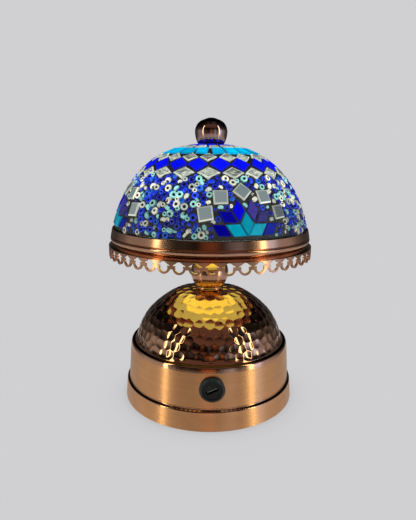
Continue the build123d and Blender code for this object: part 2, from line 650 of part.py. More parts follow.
def leads():
    """The wires inside: port to board, cell to board, board to lamp through the tube, touch wire."""
    top = BOARD_Z + BOARD_T + PLUG_H
    x, y = PLUGS["port"][:2]
    port = [(PORT_X, PORT_REAR_Y + PORT_ROOT, PORT_Z), (PORT_X, -34.0, PORT_Z), (x, y, 24.0), (x, y, top)]
    write("port_lead", lead(port, [2.6, 2.6], 1.1))
    plus_x, minus_x = CELL_L / 2 + 1.25, -CELL_L / 2 - 0.7
    cell_z = CELL_Z + 6.0
    x, y = PLUGS["cell"][:2]
    for name, end_x, high, pin_x in (("plus", plus_x, 30.0, x + 1.2), ("minus", minus_x, 27.0, x - 1.2)):
        route = [(end_x, CELL_Y, cell_z), (end_x, CELL_Y, high), (pin_x, y, high), (pin_x, y, top)]
        write(f"battery_lead_{name}", lead(route, [4.0, 5.0], 0.7))
    over = TUBE_Z[1] + 6.0
    board_top = LED_BOARD_Z + LED_BOARD_T
    x, y = PLUGS["lamp"][:2]
    lamp_x, touch_x, down_x = x + 1.1, x - 1.3, 13.0
    lamp = [(lamp_x, y, top), (lamp_x, y, 36.0), (0, 0, 52.0),
            (0, 0, over), (down_x, 0, over), (down_x, 0, board_top)]
    write("lamp_lead", lead(lamp, [8.0, 8.0, 5.0, 5.0], 1.0))
    terminal_z = DOME_SEAT_Z - SHEET - WASHER_H - 0.8
    touch = [(touch_x, y, top), (touch_x, y, 33.0), (down_x, 0, 50.0), (down_x, 0, terminal_z)]
    write("touch_lead", lead(touch, [8.0, 8.0], 0.6))


def main():
    os.makedirs("parts", exist_ok=True)
    base_drum()
    hammered_dome()
    neck()
    centre_hardware()
    gallery_fringe()
    gallery_tray()
    tray_fittings()
    led_module()
    shade_body()
    mosaic()
    bead_field()
    finial()
    charging_port()
    bottom()
    battery()
    charge_board()
    leads()


main()
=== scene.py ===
"""Looks of the mosaic glass table lamp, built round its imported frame. Metres, same frame as the CAD."""
import json
import math

import bpy
import numpy as np
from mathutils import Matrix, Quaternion, Vector


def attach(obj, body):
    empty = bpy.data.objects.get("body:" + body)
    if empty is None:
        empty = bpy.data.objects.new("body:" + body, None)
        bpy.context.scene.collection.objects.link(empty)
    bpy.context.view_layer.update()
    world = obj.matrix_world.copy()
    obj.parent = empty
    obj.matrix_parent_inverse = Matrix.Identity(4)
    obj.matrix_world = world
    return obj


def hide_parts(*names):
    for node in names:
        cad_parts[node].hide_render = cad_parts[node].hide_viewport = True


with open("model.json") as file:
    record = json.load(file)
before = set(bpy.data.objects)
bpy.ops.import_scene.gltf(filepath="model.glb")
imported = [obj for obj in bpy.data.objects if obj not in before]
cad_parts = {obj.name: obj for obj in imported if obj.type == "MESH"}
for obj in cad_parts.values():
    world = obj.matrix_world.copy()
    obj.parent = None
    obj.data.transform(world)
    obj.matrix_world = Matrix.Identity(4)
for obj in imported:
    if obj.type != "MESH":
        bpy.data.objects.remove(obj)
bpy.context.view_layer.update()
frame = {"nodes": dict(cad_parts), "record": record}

MM = 0.001
SEED = 11

# ---- the shade's section, in millimetres: superellipse of revolution ------------------------
SHADE_R, SHADE_H, SHADE_Z = 64.6, 59.3, 112.0
POWER_R, POWER_Z = 2.437, 1.677
GLASS_INSET = 3.5
TILE_T = 2.3
MOSAIC_FOOT_Z = 117.95
CROWN_HOLE_R = 9.3

# crown rings: (look, tiles, arc from the apex, half height, half width, first azimuth)
CROWN_SQUARES = [("cobalt", 10, 12.6, 3.0, 3.5, 0.0),
                 ("clear", 16, 19.7, 3.1, 3.45, 5.0),
                 ("cyan", 20, 28.0, 4.7, 4.25, 8.0)]
CROWN_DIAMONDS = [("clear", 20, 36.6, 4.9, 5.4, -2.0),
                  ("cobalt", 20, 43.7, 6.1, 6.3, 7.0),
                  ("clear", 20, 50.6, 4.6, 7.0, -2.0)]
CROWN_EDGE_S = 53.6

# half-flower medallions on the rim
MEDALLIONS = 4
MEDALLION_AZ = 19.0
MEDALLION_S = 90.2
MEDALLION_LIFT = 0.5
MEDALLION_GROUT_R = 31.0
RHOMB = 8.5
TILE_GAP = 0.55
AZIMUTH_JITTER = 0.7
OUTER_TILE = 0.92
MIRROR_SIDE = 8.7
MIRROR_R = 26.3
MIRROR_TURNS = {30: 4.0, 60: 2.0, 90: 45.0, 120: -2.0, 150: 13.0}

# hand-cut tiles: how far corners, turn, lean and thickness vary, in millimetres or degrees
CORNER_JITTER = 0.10
CYAN_JITTER = 0.25
TURN_JITTER = 1.6
LEAN_JITTER = 0.012
THICKNESS_JITTER = 0.08

# seed beads; the passes are (spacing, distance from tiles, size)
BEAD_R = 2.3
BEAD_HALF_L = 1.4
BEAD_HOLE_R = 0.78
BEAD_TRIES = 30000
BEAD_PASSES = [(4.1, 1.95, 1.0), (3.45, 1.6, 0.85), (2.75, 1.2, 0.64)]
BEAD_FLAT_SHARE = 0.55
BEAD_CELL = 5

# charging socket
PORT_X = 2.1
PORT_Z = 26.45
PORT_BEVEL_R = 6.3

# studio
CAMERA_PLACE = (-0.0012, -0.3068, 0.1589)
CAMERA_PITCH = 11.94
CAMERA_ROLL = 0.6
LENS = 31.73
BACKGROUND = (0.631, 0.624, 0.638)
FLOOR_R = 9.0
FILL_PLACE = (0.156, -0.886, 1.1)


# ---- material helpers -----------------------------------------------------------------------
def material(name):
    """An empty node material with its Principled shader."""
    mat = bpy.data.materials.new(name)
    mat.use_nodes = True
    return mat, mat.node_tree, mat.node_tree.nodes["Principled BSDF"]


def node(tree, kind, **settings):
    """A node with its inputs or own settings set by name."""
    made = tree.nodes.new(kind)
    for key, value in settings.items():
        if key in made.inputs:
            made.inputs[key].default_value = value
        else:
            setattr(made, key, value)
    return made


def join(tree, out, into):
    """A link from an output socket to an input socket."""
    tree.links.new(out, into)


def place_scaled(tree, scale):
    """Object coordinates, scaled per axis."""
    place = node(tree, "ShaderNodeTexCoord")
    mapping = node(tree, "ShaderNodeMapping")
    mapping.inputs["Scale"].default_value = scale
    join(tree, place.outputs["Object"], mapping.inputs["Vector"])
    return mapping.outputs["Vector"]


def noise(tree, scale, detail=3.0, rough=0.5, size=1.0):
    """Noise over object coordinates; scale is per metre, one value or three."""
    if not hasattr(scale, "__len__"):
        scale = (scale, scale, scale)
    made = node(tree, "ShaderNodeTexNoise", Scale=size, Detail=detail, Roughness=rough)
    join(tree, place_scaled(tree, scale), made.inputs["Vector"])
    return made.outputs["Fac"]


def ramp(tree, value, stops):
    """A colour or grey ramp: stops are (position, grey or colour)."""
    made = node(tree, "ShaderNodeValToRGB")
    elements = made.color_ramp.elements
    while len(elements) < len(stops):
        elements.new(0.5)
    for element, (position, colour) in zip(elements, stops):
        element.position = position
        grey = not hasattr(colour, "__len__")
        element.color = (colour, colour, colour, 1) if grey else (*colour, 1)
    join(tree, value, made.inputs["Fac"])
    return made.outputs["Color"]


def mix(tree, factor, first, second, kind="MIX"):
    """Mix of two colours, each a colour or a socket."""
    made = node(tree, "ShaderNodeMix", data_type="RGBA", blend_type=kind)
    for socket, value in ((made.inputs[0], factor), (made.inputs[6], first), (made.inputs[7], second)):
        if hasattr(value, "is_output"):
            join(tree, value, socket)
        elif hasattr(value, "__len__"):
            socket.default_value = (*value, 1)
        else:
            socket.default_value = value
    return made.outputs[2]


def bump(tree, shader, height, strength, distance):
    """Relief on the shader's normal."""
    made = node(tree, "ShaderNodeBump", Strength=strength, Distance=distance)
    join(tree, height, made.inputs["Height"])
    join(tree, made.outputs["Normal"], shader.inputs["Normal"])


def spread(tree, value, low, high):
    """A value brought from low..high to 0..1."""
    made = node(tree, "ShaderNodeMapRange")
    join(tree, value, made.inputs["Value"])
    made.inputs["From Min"].default_value = low
    made.inputs["From Max"].default_value = high
    return made.outputs["Result"]


def attribute(tree, name):
    """A value painted on the mesh."""
    return node(tree, "ShaderNodeAttribute", attribute_name=name)


# ---- materials: metal -----------------------------------------------------------------------
def height_mask(tree, edges, soft=0.35):
    """1 inside the given height ranges (millimetres), 0 outside, with soft edges."""
    place = node(tree, "ShaderNodeTexCoord")
    parts = node(tree, "ShaderNodeSeparateXYZ")
    join(tree, place.outputs["Object"], parts.inputs["Vector"])
    total = None
    for low, high in edges:
        for start, stop in ((low - soft, low + soft), (high + soft, high - soft)):
            step = node(tree, "ShaderNodeMapRange", interpolation_type="SMOOTHSTEP")
            join(tree, parts.outputs["Z"], step.inputs["Value"])
            step.inputs["From Min"].default_value = start * MM
            step.inputs["From Max"].default_value = stop * MM
            if start < stop:
                rise = step.outputs["Result"]
        both = node(tree, "ShaderNodeMath", operation="MULTIPLY")
        join(tree, rise, both.inputs[0])
        join(tree, step.outputs["Result"], both.inputs[1])
        if total is None:
            total = both.outputs[0]
        else:
            joined = node(tree, "ShaderNodeMath", operation="MAXIMUM")
            join(tree, total, joined.inputs[0])
            join(tree, both.outputs[0], joined.inputs[1])
            total = joined.outputs[0]
    return total


def brushed_copper():
    """Copper plate brushed round the drum, with its step and its shoulder left polished, and a painted shade
    band at the top of the shoulder.
    """
    mat, tree, shader = material("brushed_copper")
    lines = noise(tree, (9, 9, 5200), 2.0, 0.6)
    bands = noise(tree, (14, 14, 700), 3.0, 0.6)
    marks = noise(tree, 90, 4.0, 0.6)
    bright = height_mask(tree, ((11.9, 14.1), (36.4, 41.0)))
    tone = mix(tree, ramp(tree, lines, [(0.3, 0.0), (0.7, 1.0)]), (0.74, 0.37, 0.165), (0.88, 0.46, 0.225))
    tone = mix(tree, ramp(tree, bands, [(0.35, 0.0), (0.75, 0.45)]), tone, (0.68, 0.35, 0.165))
    tone = mix(tree, bright, tone, (0.66, 0.36, 0.22))
    # painted shade: a near-black band at the top of the shoulder, in the crease where the dome meets it
    tone = mix(tree, height_mask(tree, ((39.75, 41.0),), 0.15), tone, (0.07, 0.035, 0.02))
    join(tree, tone, shader.inputs["Base Color"])
    shader.inputs["Metallic"].default_value = 1.0
    brushed = ramp(tree, marks, [(0.3, 0.26), (0.75, 0.33)])
    join(tree, mix(tree, bright, brushed, (0.09, 0.09, 0.09)), shader.inputs["Roughness"])
    shader.inputs["Anisotropic"].default_value = 0.9
    shader.inputs["Anisotropic Rotation"].default_value = 0.25
    round_z = node(tree, "ShaderNodeTangent", direction_type="RADIAL", axis="Z")
    join(tree, round_z.outputs["Tangent"], shader.inputs["Tangent"])
    bump(tree, shader, lines, 0.25, 0.00006)
    return mat


def polished_copper(name, colour, dark, low, high, grain=60):
    """Polished plate with faint satin patches and fine spinning lines."""
    mat, tree, shader = material(name)
    patches = noise(tree, grain, 4.0, 0.65)
    rings = noise(tree, (12, 12, 2600), 2.0, 0.5)
    tone = mix(tree, ramp(tree, patches, [(0.35, 0.0), (0.7, 1.0)]), colour, dark)
    join(tree, tone, shader.inputs["Base Color"])
    shader.inputs["Metallic"].default_value = 1.0
    join(tree, ramp(tree, patches, [(0.35, low), (0.75, high)]), shader.inputs["Roughness"])
    bump(tree, shader, rings, 0.08, 0.00004)
    return mat


def plated_steel():
    """Zinc-plated steel with a fine spangle."""
    mat, tree, shader = material("plated_steel")
    spangle = noise(tree, 420, 3.0, 0.6)
    join(tree, mix(tree, spangle, (0.50, 0.50, 0.48), (0.72, 0.72, 0.70)), shader.inputs["Base Color"])
    shader.inputs["Metallic"].default_value = 1.0
    join(tree, ramp(tree, spangle, [(0.3, 0.22), (0.7, 0.4)]), shader.inputs["Roughness"])
    return mat


# ---- materials: plain parts -----------------------------------------------------------------
def moulded(name, low, high, rough, grain=1500, strength=0.15, metallic=0.0):
    """A moulded or woven part: two close tones, a fine grain and its own roughness."""
    mat, tree, shader = material(name)
    wide = noise(tree, 160, 3.0, 0.6)
    fine = noise(tree, grain, 2.0, 0.5)
    join(tree, mix(tree, wide, low, high), shader.inputs["Base Color"])
    shader.inputs["Metallic"].default_value = metallic
    uneven = ramp(tree, fine, [(0.2, rough * 0.8), (0.8, min(rough * 1.25, 1.0))])
    join(tree, uneven, shader.inputs["Roughness"])
    bump(tree, shader, fine, strength, 0.0001)
    return mat


def port_plastic():
    """Black socket moulding with a painted highlight: a lighter ring on the bevel round its front."""
    mat, tree, shader = material("port_plastic")
    place = node(tree, "ShaderNodeTexCoord")
    across = node(tree, "ShaderNodeMapping")
    across.inputs["Scale"].default_value = (1, 0, 1)
    across.inputs["Location"].default_value = (-PORT_X * MM, 0, -PORT_Z * MM)
    join(tree, place.outputs["Object"], across.inputs["Vector"])
    radius = node(tree, "ShaderNodeVectorMath", operation="LENGTH")
    join(tree, across.outputs["Vector"], radius.inputs[0])
    # painted highlight: the bevel ring outside this radius is coloured lighter
    bevel = spread(tree, radius.outputs["Value"], PORT_BEVEL_R * MM, (PORT_BEVEL_R + 0.3) * MM)
    grain = noise(tree, 900, 2.0, 0.5)
    face = mix(tree, grain, (0.004, 0.005, 0.007), (0.009, 0.011, 0.014))
    join(tree, mix(tree, bevel, face, (0.030, 0.042, 0.056)), shader.inputs["Base Color"])
    shader.inputs["Roughness"].default_value = 0.3
    shader.inputs["Specular IOR Level"].default_value = 0.25
    return mat


def felt():
    mat = moulded("felt", (0.028, 0.028, 0.03), (0.06, 0.06, 0.065), 0.95, 2600, 0.9)
    mat.node_tree.nodes["Principled BSDF"].inputs["Sheen Weight"].default_value = 0.4
    return mat


def glow_plate():
    """Opal acrylic, brightest over the lamp board and dim near the rim."""
    mat, tree, shader = material("glow_plate")
    place = node(tree, "ShaderNodeTexCoord")
    flat = node(tree, "ShaderNodeMapping")
    flat.inputs["Scale"].default_value = (1000 / 65, 1000 / 65, 0)
    join(tree, place.outputs["Object"], flat.inputs["Vector"])
    radius = node(tree, "ShaderNodeVectorMath", operation="LENGTH")
    join(tree, flat.outputs["Vector"], radius.inputs[0])
    light = ramp(tree, radius.outputs["Value"],
                 [(0.0, (0.90, 1.0, 0.14)), (0.50, (0.90, 1.0, 0.14)), (0.57, (0.42, 0.52, 0.13)),
                  (0.90, (0.36, 0.46, 0.12)), (0.96, (0.10, 0.11, 0.04))])
    cloud = noise(tree, 120, 3.0, 0.6)
    glow = mix(tree, ramp(tree, cloud, [(0.3, 0.0), (0.8, 0.18)]), light, (0.45, 0.45, 0.10))
    join(tree, glow, shader.inputs["Base Color"])
    join(tree, glow, shader.inputs["Emission Color"])
    shader.inputs["Emission Strength"].default_value = 1.5
    shader.inputs["Roughness"].default_value = 0.35
    return mat


def shade_glass():
    """Frosted blown glass, seen from inside; it glows with the light it carries, as a painted glow in its
    emission.
    """
    mat, tree, shader = material("shade_glass")
    seeds = noise(tree, 700, 2.0, 0.6)
    tone = mix(tree, seeds, (0.62, 0.72, 0.78), (0.86, 0.92, 0.94))
    join(tree, tone, shader.inputs["Base Color"])
    join(tree, tone, shader.inputs["Emission Color"])
    # painted glow: emission stands in for the lamp's light through the glass
    shader.inputs["Emission Strength"].default_value = 0.25
    shader.inputs["Transmission Weight"].default_value = 0.35
    shader.inputs["IOR"].default_value = 1.5
    shader.inputs["Roughness"].default_value = 0.28
    bump(tree, shader, seeds, 0.2, 0.0002)
    return mat


# ---- materials: mosaic ----------------------------------------------------------------------
def grout():
    """Dark grout with glass grit and hairline glints."""
    mat, tree, shader = material("grout")
    broad = noise(tree, 260, 4.0, 0.6)
    grit = noise(tree, 1500, 2.0, 0.7)
    tone = ramp(tree, broad, [(0.3, (0.022, 0.026, 0.030)), (0.75, (0.09, 0.098, 0.10))])
    tone = mix(tree, ramp(tree, grit, [(0.66, 0.0), (0.74, 0.7)]), tone, (0.34, 0.38, 0.34))
    join(tree, tone, shader.inputs["Base Color"])
    shader.inputs["Roughness"].default_value = 0.55
    bump(tree, shader, grit, 0.6, 0.0003)
    return mat


def lit_glass():
    """Stained tile lit from behind, its glow painted as emission: its tint varies in the sheet, and its cut
    edge carries painted shade.
    """
    mat, tree, shader = material("lit_glass")
    tint = attribute(tree, "tint")
    edge = attribute(tree, "edge")
    streak = noise(tree, 160, 5.0, 0.65)
    body = mix(tree, ramp(tree, streak, [(0.35, 0.0), (0.8, 0.45)]), tint.outputs["Color"], (0.0, 0.0, 0.02))
    # painted shade on the tile's bevel and sides, weighted by the edge attribute
    cut = mix(tree, 0.5, body, (0.01, 0.012, 0.05))
    face = mix(tree, edge.outputs["Fac"], body, cut)
    join(tree, face, shader.inputs["Base Color"])
    # painted glow: emission stands in for the lamp's light coming through the tile
    join(tree, face, shader.inputs["Emission Color"])
    shader.inputs["Emission Strength"].default_value = 0.95
    shader.inputs["Roughness"].default_value = 0.3
    shader.inputs["Specular IOR Level"].default_value = 0.12
    bump(tree, shader, noise(tree, 210, 2.0, 0.5), 0.3, 0.0005)
    return mat


def ribbed_glass():
    """Clear tile over a silvered back: long streaks across it as a painted reflection, a bright bevel with
    painted highlights, and a painted glow.
    """
    mat, tree, shader = material("ribbed_glass")
    tint = attribute(tree, "tint")
    edge = attribute(tree, "edge")
    place = node(tree, "ShaderNodeTexCoord")
    drawn = node(tree, "ShaderNodeMapping")
    drawn.inputs["Scale"].default_value = (0.9, 6.0, 1.0)
    join(tree, place.outputs["UV"], drawn.inputs["Vector"])
    streaks = node(tree, "ShaderNodeTexNoise", Scale=2.2, Detail=3.0, Roughness=0.55, Distortion=0.5)
    join(tree, drawn.outputs["Vector"], streaks.inputs["Vector"])
    wide = node(tree, "ShaderNodeTexNoise", Scale=1.8, Detail=2.0)
    join(tree, place.outputs["UV"], wide.inputs["Vector"])
    # painted reflection of the silvered back: dark to bright streaks, darker in broad patches
    silver = ramp(tree, streaks.outputs["Fac"], [(0.33, (0.045, 0.055, 0.06)), (0.43, (0.28, 0.33, 0.30)),
                                                (0.54, (0.50, 0.57, 0.50)), (0.66, (0.90, 1.00, 0.85))])
    shade = ramp(tree, wide.outputs["Fac"], [(0.42, 0.0), (0.62, 0.6)])
    silver = mix(tree, shade, silver, (0.07, 0.09, 0.09))
    body = mix(tree, 1.0, silver, tint.outputs["Color"], "MULTIPLY")
    # the ground bevel's light tone, with painted highlights weighted per face
    bevel = ramp(tree, wide.outputs["Fac"], [(0.35, (0.35, 0.39, 0.36)), (0.6, (0.85, 0.90, 0.76))])
    face = mix(tree, edge.outputs["Fac"], body, bevel)
    join(tree, face, shader.inputs["Base Color"])
    join(tree, face, shader.inputs["Emission Color"])
    # painted light: emission adds the tile's reflection and glow
    shader.inputs["Emission Strength"].default_value = 0.75
    shader.inputs["Roughness"].default_value = 0.2
    shader.inputs["Specular IOR Level"].default_value = 0.3
    bump(tree, shader, streaks.outputs["Fac"], 0.4, 0.0005)
    return mat


def mirror_glass():
    """Silvered tile: flat grey mirror face as a painted reflection, and a light, ground bevel with painted
    highlights.
    """
    mat, tree, shader = material("mirror_glass")
    tint = attribute(tree, "tint")
    edge = attribute(tree, "edge")
    haze = noise(tree, 900, 2.0, 0.6)
    face = mix(tree, ramp(tree, haze, [(0.3, 0.0), (0.8, 0.22)]), tint.outputs["Color"], (0.32, 0.38, 0.38))
    face = mix(tree, edge.outputs["Fac"], face, (0.78, 0.82, 0.70))
    join(tree, face, shader.inputs["Base Color"])
    join(tree, face, shader.inputs["Emission Color"])
    # painted reflection: emission lights the mirror face and bevel
    shader.inputs["Emission Strength"].default_value = 0.55
    shader.inputs["Metallic"].default_value = 0.7
    shader.inputs["Roughness"].default_value = 0.16
    return mat


def bead_glass():
    """Small glass rings, their holes painted dark as painted shade; the sides that turn to the grout are
    painted darker as painted shade, and the glow is painted as emission.
    """
    mat, tree, shader = material("bead_glass")
    tint = attribute(tree, "tint")
    hole = attribute(tree, "edge")
    swirl = noise(tree, 900, 2.0, 0.6)
    body = mix(tree, ramp(tree, swirl, [(0.45, 0.0), (0.7, 0.6)]), tint.outputs["Color"], (0.01, 0.02, 0.06))
    # painted shade: the hole faces near-black, their lips partly darkened
    face = mix(tree, hole.outputs["Fac"], body, (0.002, 0.003, 0.008))
    join(tree, face, shader.inputs["Base Color"])
    join(tree, face, shader.inputs["Emission Color"])
    # painted glow: emission stands in for the lamp's light from behind
    shader.inputs["Emission Strength"].default_value = 1.0
    shader.inputs["Roughness"].default_value = 0.08
    shader.inputs["Coat Weight"].default_value = 0.5
    return mat


# ---- mesh helpers ---------------------------------------------------------------------------
def piece(name, vertices, faces, mat, body, replaced=(), slot=None, smooth=True):
    """A mesh in the row frame that rides on a body; vertices in millimetres."""
    mesh = bpy.data.meshes.new(name)
    mesh.from_pydata((np.asarray(vertices, float) * MM).tolist(), [], faces)
    mesh.update()
    mesh.shade_smooth() if smooth else mesh.shade_flat()
    made = bpy.data.objects.new(name, mesh)
    bpy.context.scene.collection.objects.link(made)
    mesh.materials.append(mat)
    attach(made, body)
    if replaced:
        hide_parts(*replaced)
    return made


def paint(made, tints, edges):
    """Tint and edge values, one per face, stored on the face corners."""
    mesh = made.data
    counts = np.array([p.loop_total for p in mesh.polygons])
    colours = np.repeat(np.asarray(tints, np.float32), counts, axis=0)
    layer = mesh.color_attributes.new("tint", "FLOAT_COLOR", "CORNER")
    layer.data.foreach_set("color", np.hstack([colours, np.ones((len(colours), 1), np.float32)]).ravel())
    layer = mesh.attributes.new("edge", "FLOAT", "CORNER")
    layer.data.foreach_set("value", np.repeat(np.asarray(edges, np.float32), counts))


def grid_faces(rows, columns, closed=True, offset=0, flip=False):
    """Quads of a grid whose columns close round the axis."""
    faces = []
    for i in range(rows - 1):
        for j in range(columns if closed else columns - 1):
            k = (j + 1) % columns
            quad = (offset + i * columns + j, offset + i * columns + k,
                    offset + (i + 1) * columns + k, offset + (i + 1) * columns + j)
            faces.append(quad[::-1] if flip else quad)
    return faces


# ---- the shade's surface --------------------------------------------------------------------
def arc_table(steps=3000):
    """Arc length from the apex down the mosaic's outside: s, r, z and the normal's two parts."""
    angle = np.linspace(math.pi / 2, 0.0, steps + 1)
    c, s = np.maximum(np.cos(angle), 1e-9), np.maximum(np.sin(angle), 1e-9)
    r = SHADE_R * c ** (2 / POWER_R)
    z = SHADE_Z + SHADE_H * s ** (2 / POWER_Z)
    nr = POWER_R / SHADE_R * (r / SHADE_R) ** (POWER_R - 1)
    nz = POWER_Z / SHADE_H * ((z - SHADE_Z) / SHADE_H) ** (POWER_Z - 1)
    size = np.hypot(nr, nz)
    length = np.concatenate([[0.0], np.cumsum(np.hypot(np.diff(r), np.diff(z)))])
    return length, r, z, nr / size, nz / size


ARC = arc_table()


def on_shade(s, azimuth, inset=0.0):
    """Points (millimetres) and outward normals at arc length s and azimuth in degrees, 0 at -Y."""
    s, a = np.asarray(s, float), np.radians(np.asarray(azimuth, float))
    r, z, nr, nz = (np.interp(s, ARC[0], column) for column in ARC[1:])
    r, z = r - inset * nr, z - inset * nz
    points = np.stack([r * np.sin(a), -r * np.cos(a), z + 0 * a], -1)
    normals = np.stack([nr * np.sin(a), -nr * np.cos(a), nz + 0 * a], -1)
    return points, normals


def tangent_frame(s, azimuth, inset):
    """Origin, along the rim, up the dome, outward."""
    origin, normal = on_shade(s, azimuth, inset)
    a = math.radians(azimuth)
    along = np.array([math.cos(a), math.sin(a), 0.0])
    return origin, along, np.cross(normal, along), normal


def foot_arc():
    """Arc length where the mosaic ends at the rim band."""
    return float(np.interp(-MOSAIC_FOOT_Z, -ARC[2], ARC[0]))


# ---- tiles ----------------------------------------------------------------------------------
def diamond(half_h, half_w):
    """Corners of a diamond that stands on its point."""
    return [(0, half_h), (-half_w, 0), (0, -half_h), (half_w, 0)]


def square(half_h, half_w, taper):
    """Corners of a tile that narrows towards the top."""
    top_w = half_w * taper
    return [(top_w, half_h), (-top_w, half_h), (-half_w, -half_h), (half_w, -half_h)]


def rhomb(origin, low_angle):
    """60-degree rhomb with one corner at origin, its sides towards low_angle and 60 degrees on."""
    a, b = (np.array([RHOMB * math.cos(math.radians(x)), RHOMB * math.sin(math.radians(x))])
            for x in (low_angle, low_angle + 60))
    start = np.array(origin)
    return [start, start + a, start + a + b, start + b]


def crown_tiles():
    """(look, s, azimuth, corners) of each tile in the rings round the finial."""
    tiles = []
    for look, count, s, half_h, half_w, first in CROWN_SQUARES:
        taper = max(0.45, 1 - half_h / s * 1.1)
        for i in range(count):
            tiles.append((look, s, first + 360 / count * i, square(half_h, half_w, taper)))
    for look, count, s, half_h, half_w, first in CROWN_DIAMONDS:
        for i in range(count):
            tiles.append((look, s, first + 360 / count * i, diamond(half_h, half_w)))
    return tiles


FLOWER_LOOKS = ("navy_blue", "indigo", "violet", "cobalt_deep", "navy", "navy_dark")


def shrunk(corners, share):
    """An outline scaled about its middle."""
    corners = np.array(corners)
    return corners.mean(0) + share * (corners - corners.mean(0))


def medallion_tiles():
    """The same for the half flowers on the rim."""
    shapes = [("turquoise", rhomb((0, MEDALLION_LIFT), a)) for a in (0, 60, 120)]
    looks = iter(FLOWER_LOOKS)
    for notch, starts in ((0, (0,)), (60, (0, 60)), (120, (60, 120)), (180, (120,))):
        x, y = RHOMB * math.cos(math.radians(notch)), RHOMB * math.sin(math.radians(notch))
        for start in starts:
            outline = rhomb((x, MEDALLION_LIFT + y), start)
            shapes.append((next(looks), shrunk(outline, OUTER_TILE)))
    for around, turn in MIRROR_TURNS.items():
        a = math.radians(around)
        centre = np.array([MIRROR_R * math.cos(a), MEDALLION_LIFT + MIRROR_R * math.sin(a)])
        corners = []
        for k in range(4):
            b = math.radians(45 + 90 * k + turn)
            corners.append(centre + MIRROR_SIDE / math.sqrt(2) * np.array([math.cos(b), math.sin(b)]))
        shapes.append(("mirror", corners))
    tiles = []
    for m in range(MEDALLIONS):
        for look, corners in shapes:
            corners = np.array(corners)
            centre = corners.mean(0)
            s = MEDALLION_S - centre[1]
            r = float(np.interp(s, ARC[0], ARC[1]))
            azimuth = MEDALLION_AZ + 360 / MEDALLIONS * m + math.degrees(centre[0] / r)
            tiles.append((look, s, azimuth, (corners - centre).tolist()))
    return tiles


def inset_outline(corners, distance):
    """A convex outline, each side moved in by distance."""
    corners = np.array(corners, float)
    count = len(corners)
    inner = []
    for i in range(count):
        a, b, c = corners[i - 1], corners[i], corners[(i + 1) % count]
        n1 = np.array([-(b - a)[1], (b - a)[0]]) / np.linalg.norm(b - a)
        n2 = np.array([-(c - b)[1], (c - b)[0]]) / np.linalg.norm(c - b)
        inner.append(b + distance * (n1 + n2) / (1 + n1 @ n2))
    return np.array(inner)


LOOKS = {  # tint of the glass, its relative spread, and how wide and deep the bevel is
    "cobalt": ((0.002, 0.006, 1.00), 0.10, 0.35, 0.25),
    "cyan": ((0.0, 0.50, 0.95), 0.20, 0.35, 0.25),
    "turquoise": ((0.0, 0.235, 0.34), 0.15, 0.40, 0.25),
    "cobalt_deep": ((0.0, 0.0, 0.60), 0.12, 0.40, 0.25),
    "navy_blue": ((0.006, 0.012, 0.22), 0.12, 0.40, 0.25),
    "navy": ((0.0, 0.0, 0.22), 0.12, 0.40, 0.25),
    "navy_dark": ((0.0, 0.0, 0.17), 0.12, 0.40, 0.25),
    "indigo": ((0.034, 0.030, 0.14), 0.12, 0.40, 0.25),
    "violet": ((0.05, 0.038, 0.29), 0.12, 0.40, 0.25),
    "clear": ((1.0, 1.0, 1.0), 0.18, 0.75, 0.40),
    # mirror: its grey tint and wide spread are a painted reflection, varying per tile
    "mirror": ((0.25, 0.32, 0.34), 0.25, 0.80, 0.50),
}
GROUPS = {  # piece: (looks in it, material slot, CAD nodes it stands for)
    "mosaic_cobalt": (("cobalt",), "cobalt_glass", ("tiles_cobalt_star",)),
    "mosaic_cyan": (("cyan",), "cyan_glass", ("tiles_cyan_ring",)),
    "mosaic_turquoise": (("turquoise",), "turquoise_glass", ("tiles_turquoise",)),
    "mosaic_flower": (FLOWER_LOOKS, "cobalt_glass", ("tiles_cobalt_flower",)),
    "mosaic_clear": (("clear",), "clear_bevel_glass", ("tiles_clear_crown",)),
    "mosaic_mirror": (("mirror",), "mirror_glass", ("tiles_mirror",)),
}


def rotation(angle):
    """A turn in the plane, by an angle in radians."""
    return np.array([[math.cos(angle), -math.sin(angle)], [math.sin(angle), math.cos(angle)]])


def cut_tile(look, s, azimuth, corners, rng):
    """Vertices, faces, tints, edge flags and uv of one hand-cut tile with a ground bevel."""
    tint, spread, bevel_w, bevel_h = LOOKS[look]
    ground = look in ("clear", "mirror")
    azimuth = azimuth + rng.normal(0, AZIMUTH_JITTER) * (s < CROWN_EDGE_S)
    uneven = CYAN_JITTER if look == "cyan" else CORNER_JITTER
    corners = inset_outline(corners, TILE_GAP / 2) + rng.normal(0, uneven, (len(corners), 2))
    corners = corners @ rotation(math.radians(rng.normal(0, TURN_JITTER))).T
    origin, along, up, out = tangent_frame(s, azimuth, TILE_T + 0.1)
    lean = rng.normal(0, LEAN_JITTER, 2)
    height = TILE_T + rng.normal(0, THICKNESS_JITTER)
    rings = [(corners, 0.0), (corners, height - bevel_h), (inset_outline(corners, bevel_w), height)]
    vertices = []
    for outline, z in rings:
        for x, y in outline:
            vertices.append(origin + along * x + up * y + out * (z + x * lean[0] + y * lean[1]))
    n = len(corners)
    faces = [tuple(range(n - 1, -1, -1)), tuple(range(2 * n, 3 * n))]
    # edge weights carry painted light: shade on lit tiles' bevels and sides, highlights on ground bevels that
    # vary at random per face
    flags = [0.6, 0.0]
    for ring_index in range(2):
        for i in range(n):
            k = (i + 1) % n
            a = ring_index * n
            faces.append((a + i, a + k, a + n + k, a + n + i))
            flags.append((rng.uniform(0.35, 1.0) if ground else 1.0) if ring_index else 0.6)
    shade = np.clip(np.array(tint) * (1 + rng.normal(0, spread)), 0, 1)
    flat = np.vstack([outline for outline, _ in rings]) / 10
    grain = math.radians(rng.choice([20, 160]) + rng.normal(0, 12)) if look == "clear" else 0.0
    flat = flat @ rotation(grain).T + rng.uniform(0, 9, 2)
    return np.array(vertices), faces, [shade] * len(faces), flags, flat


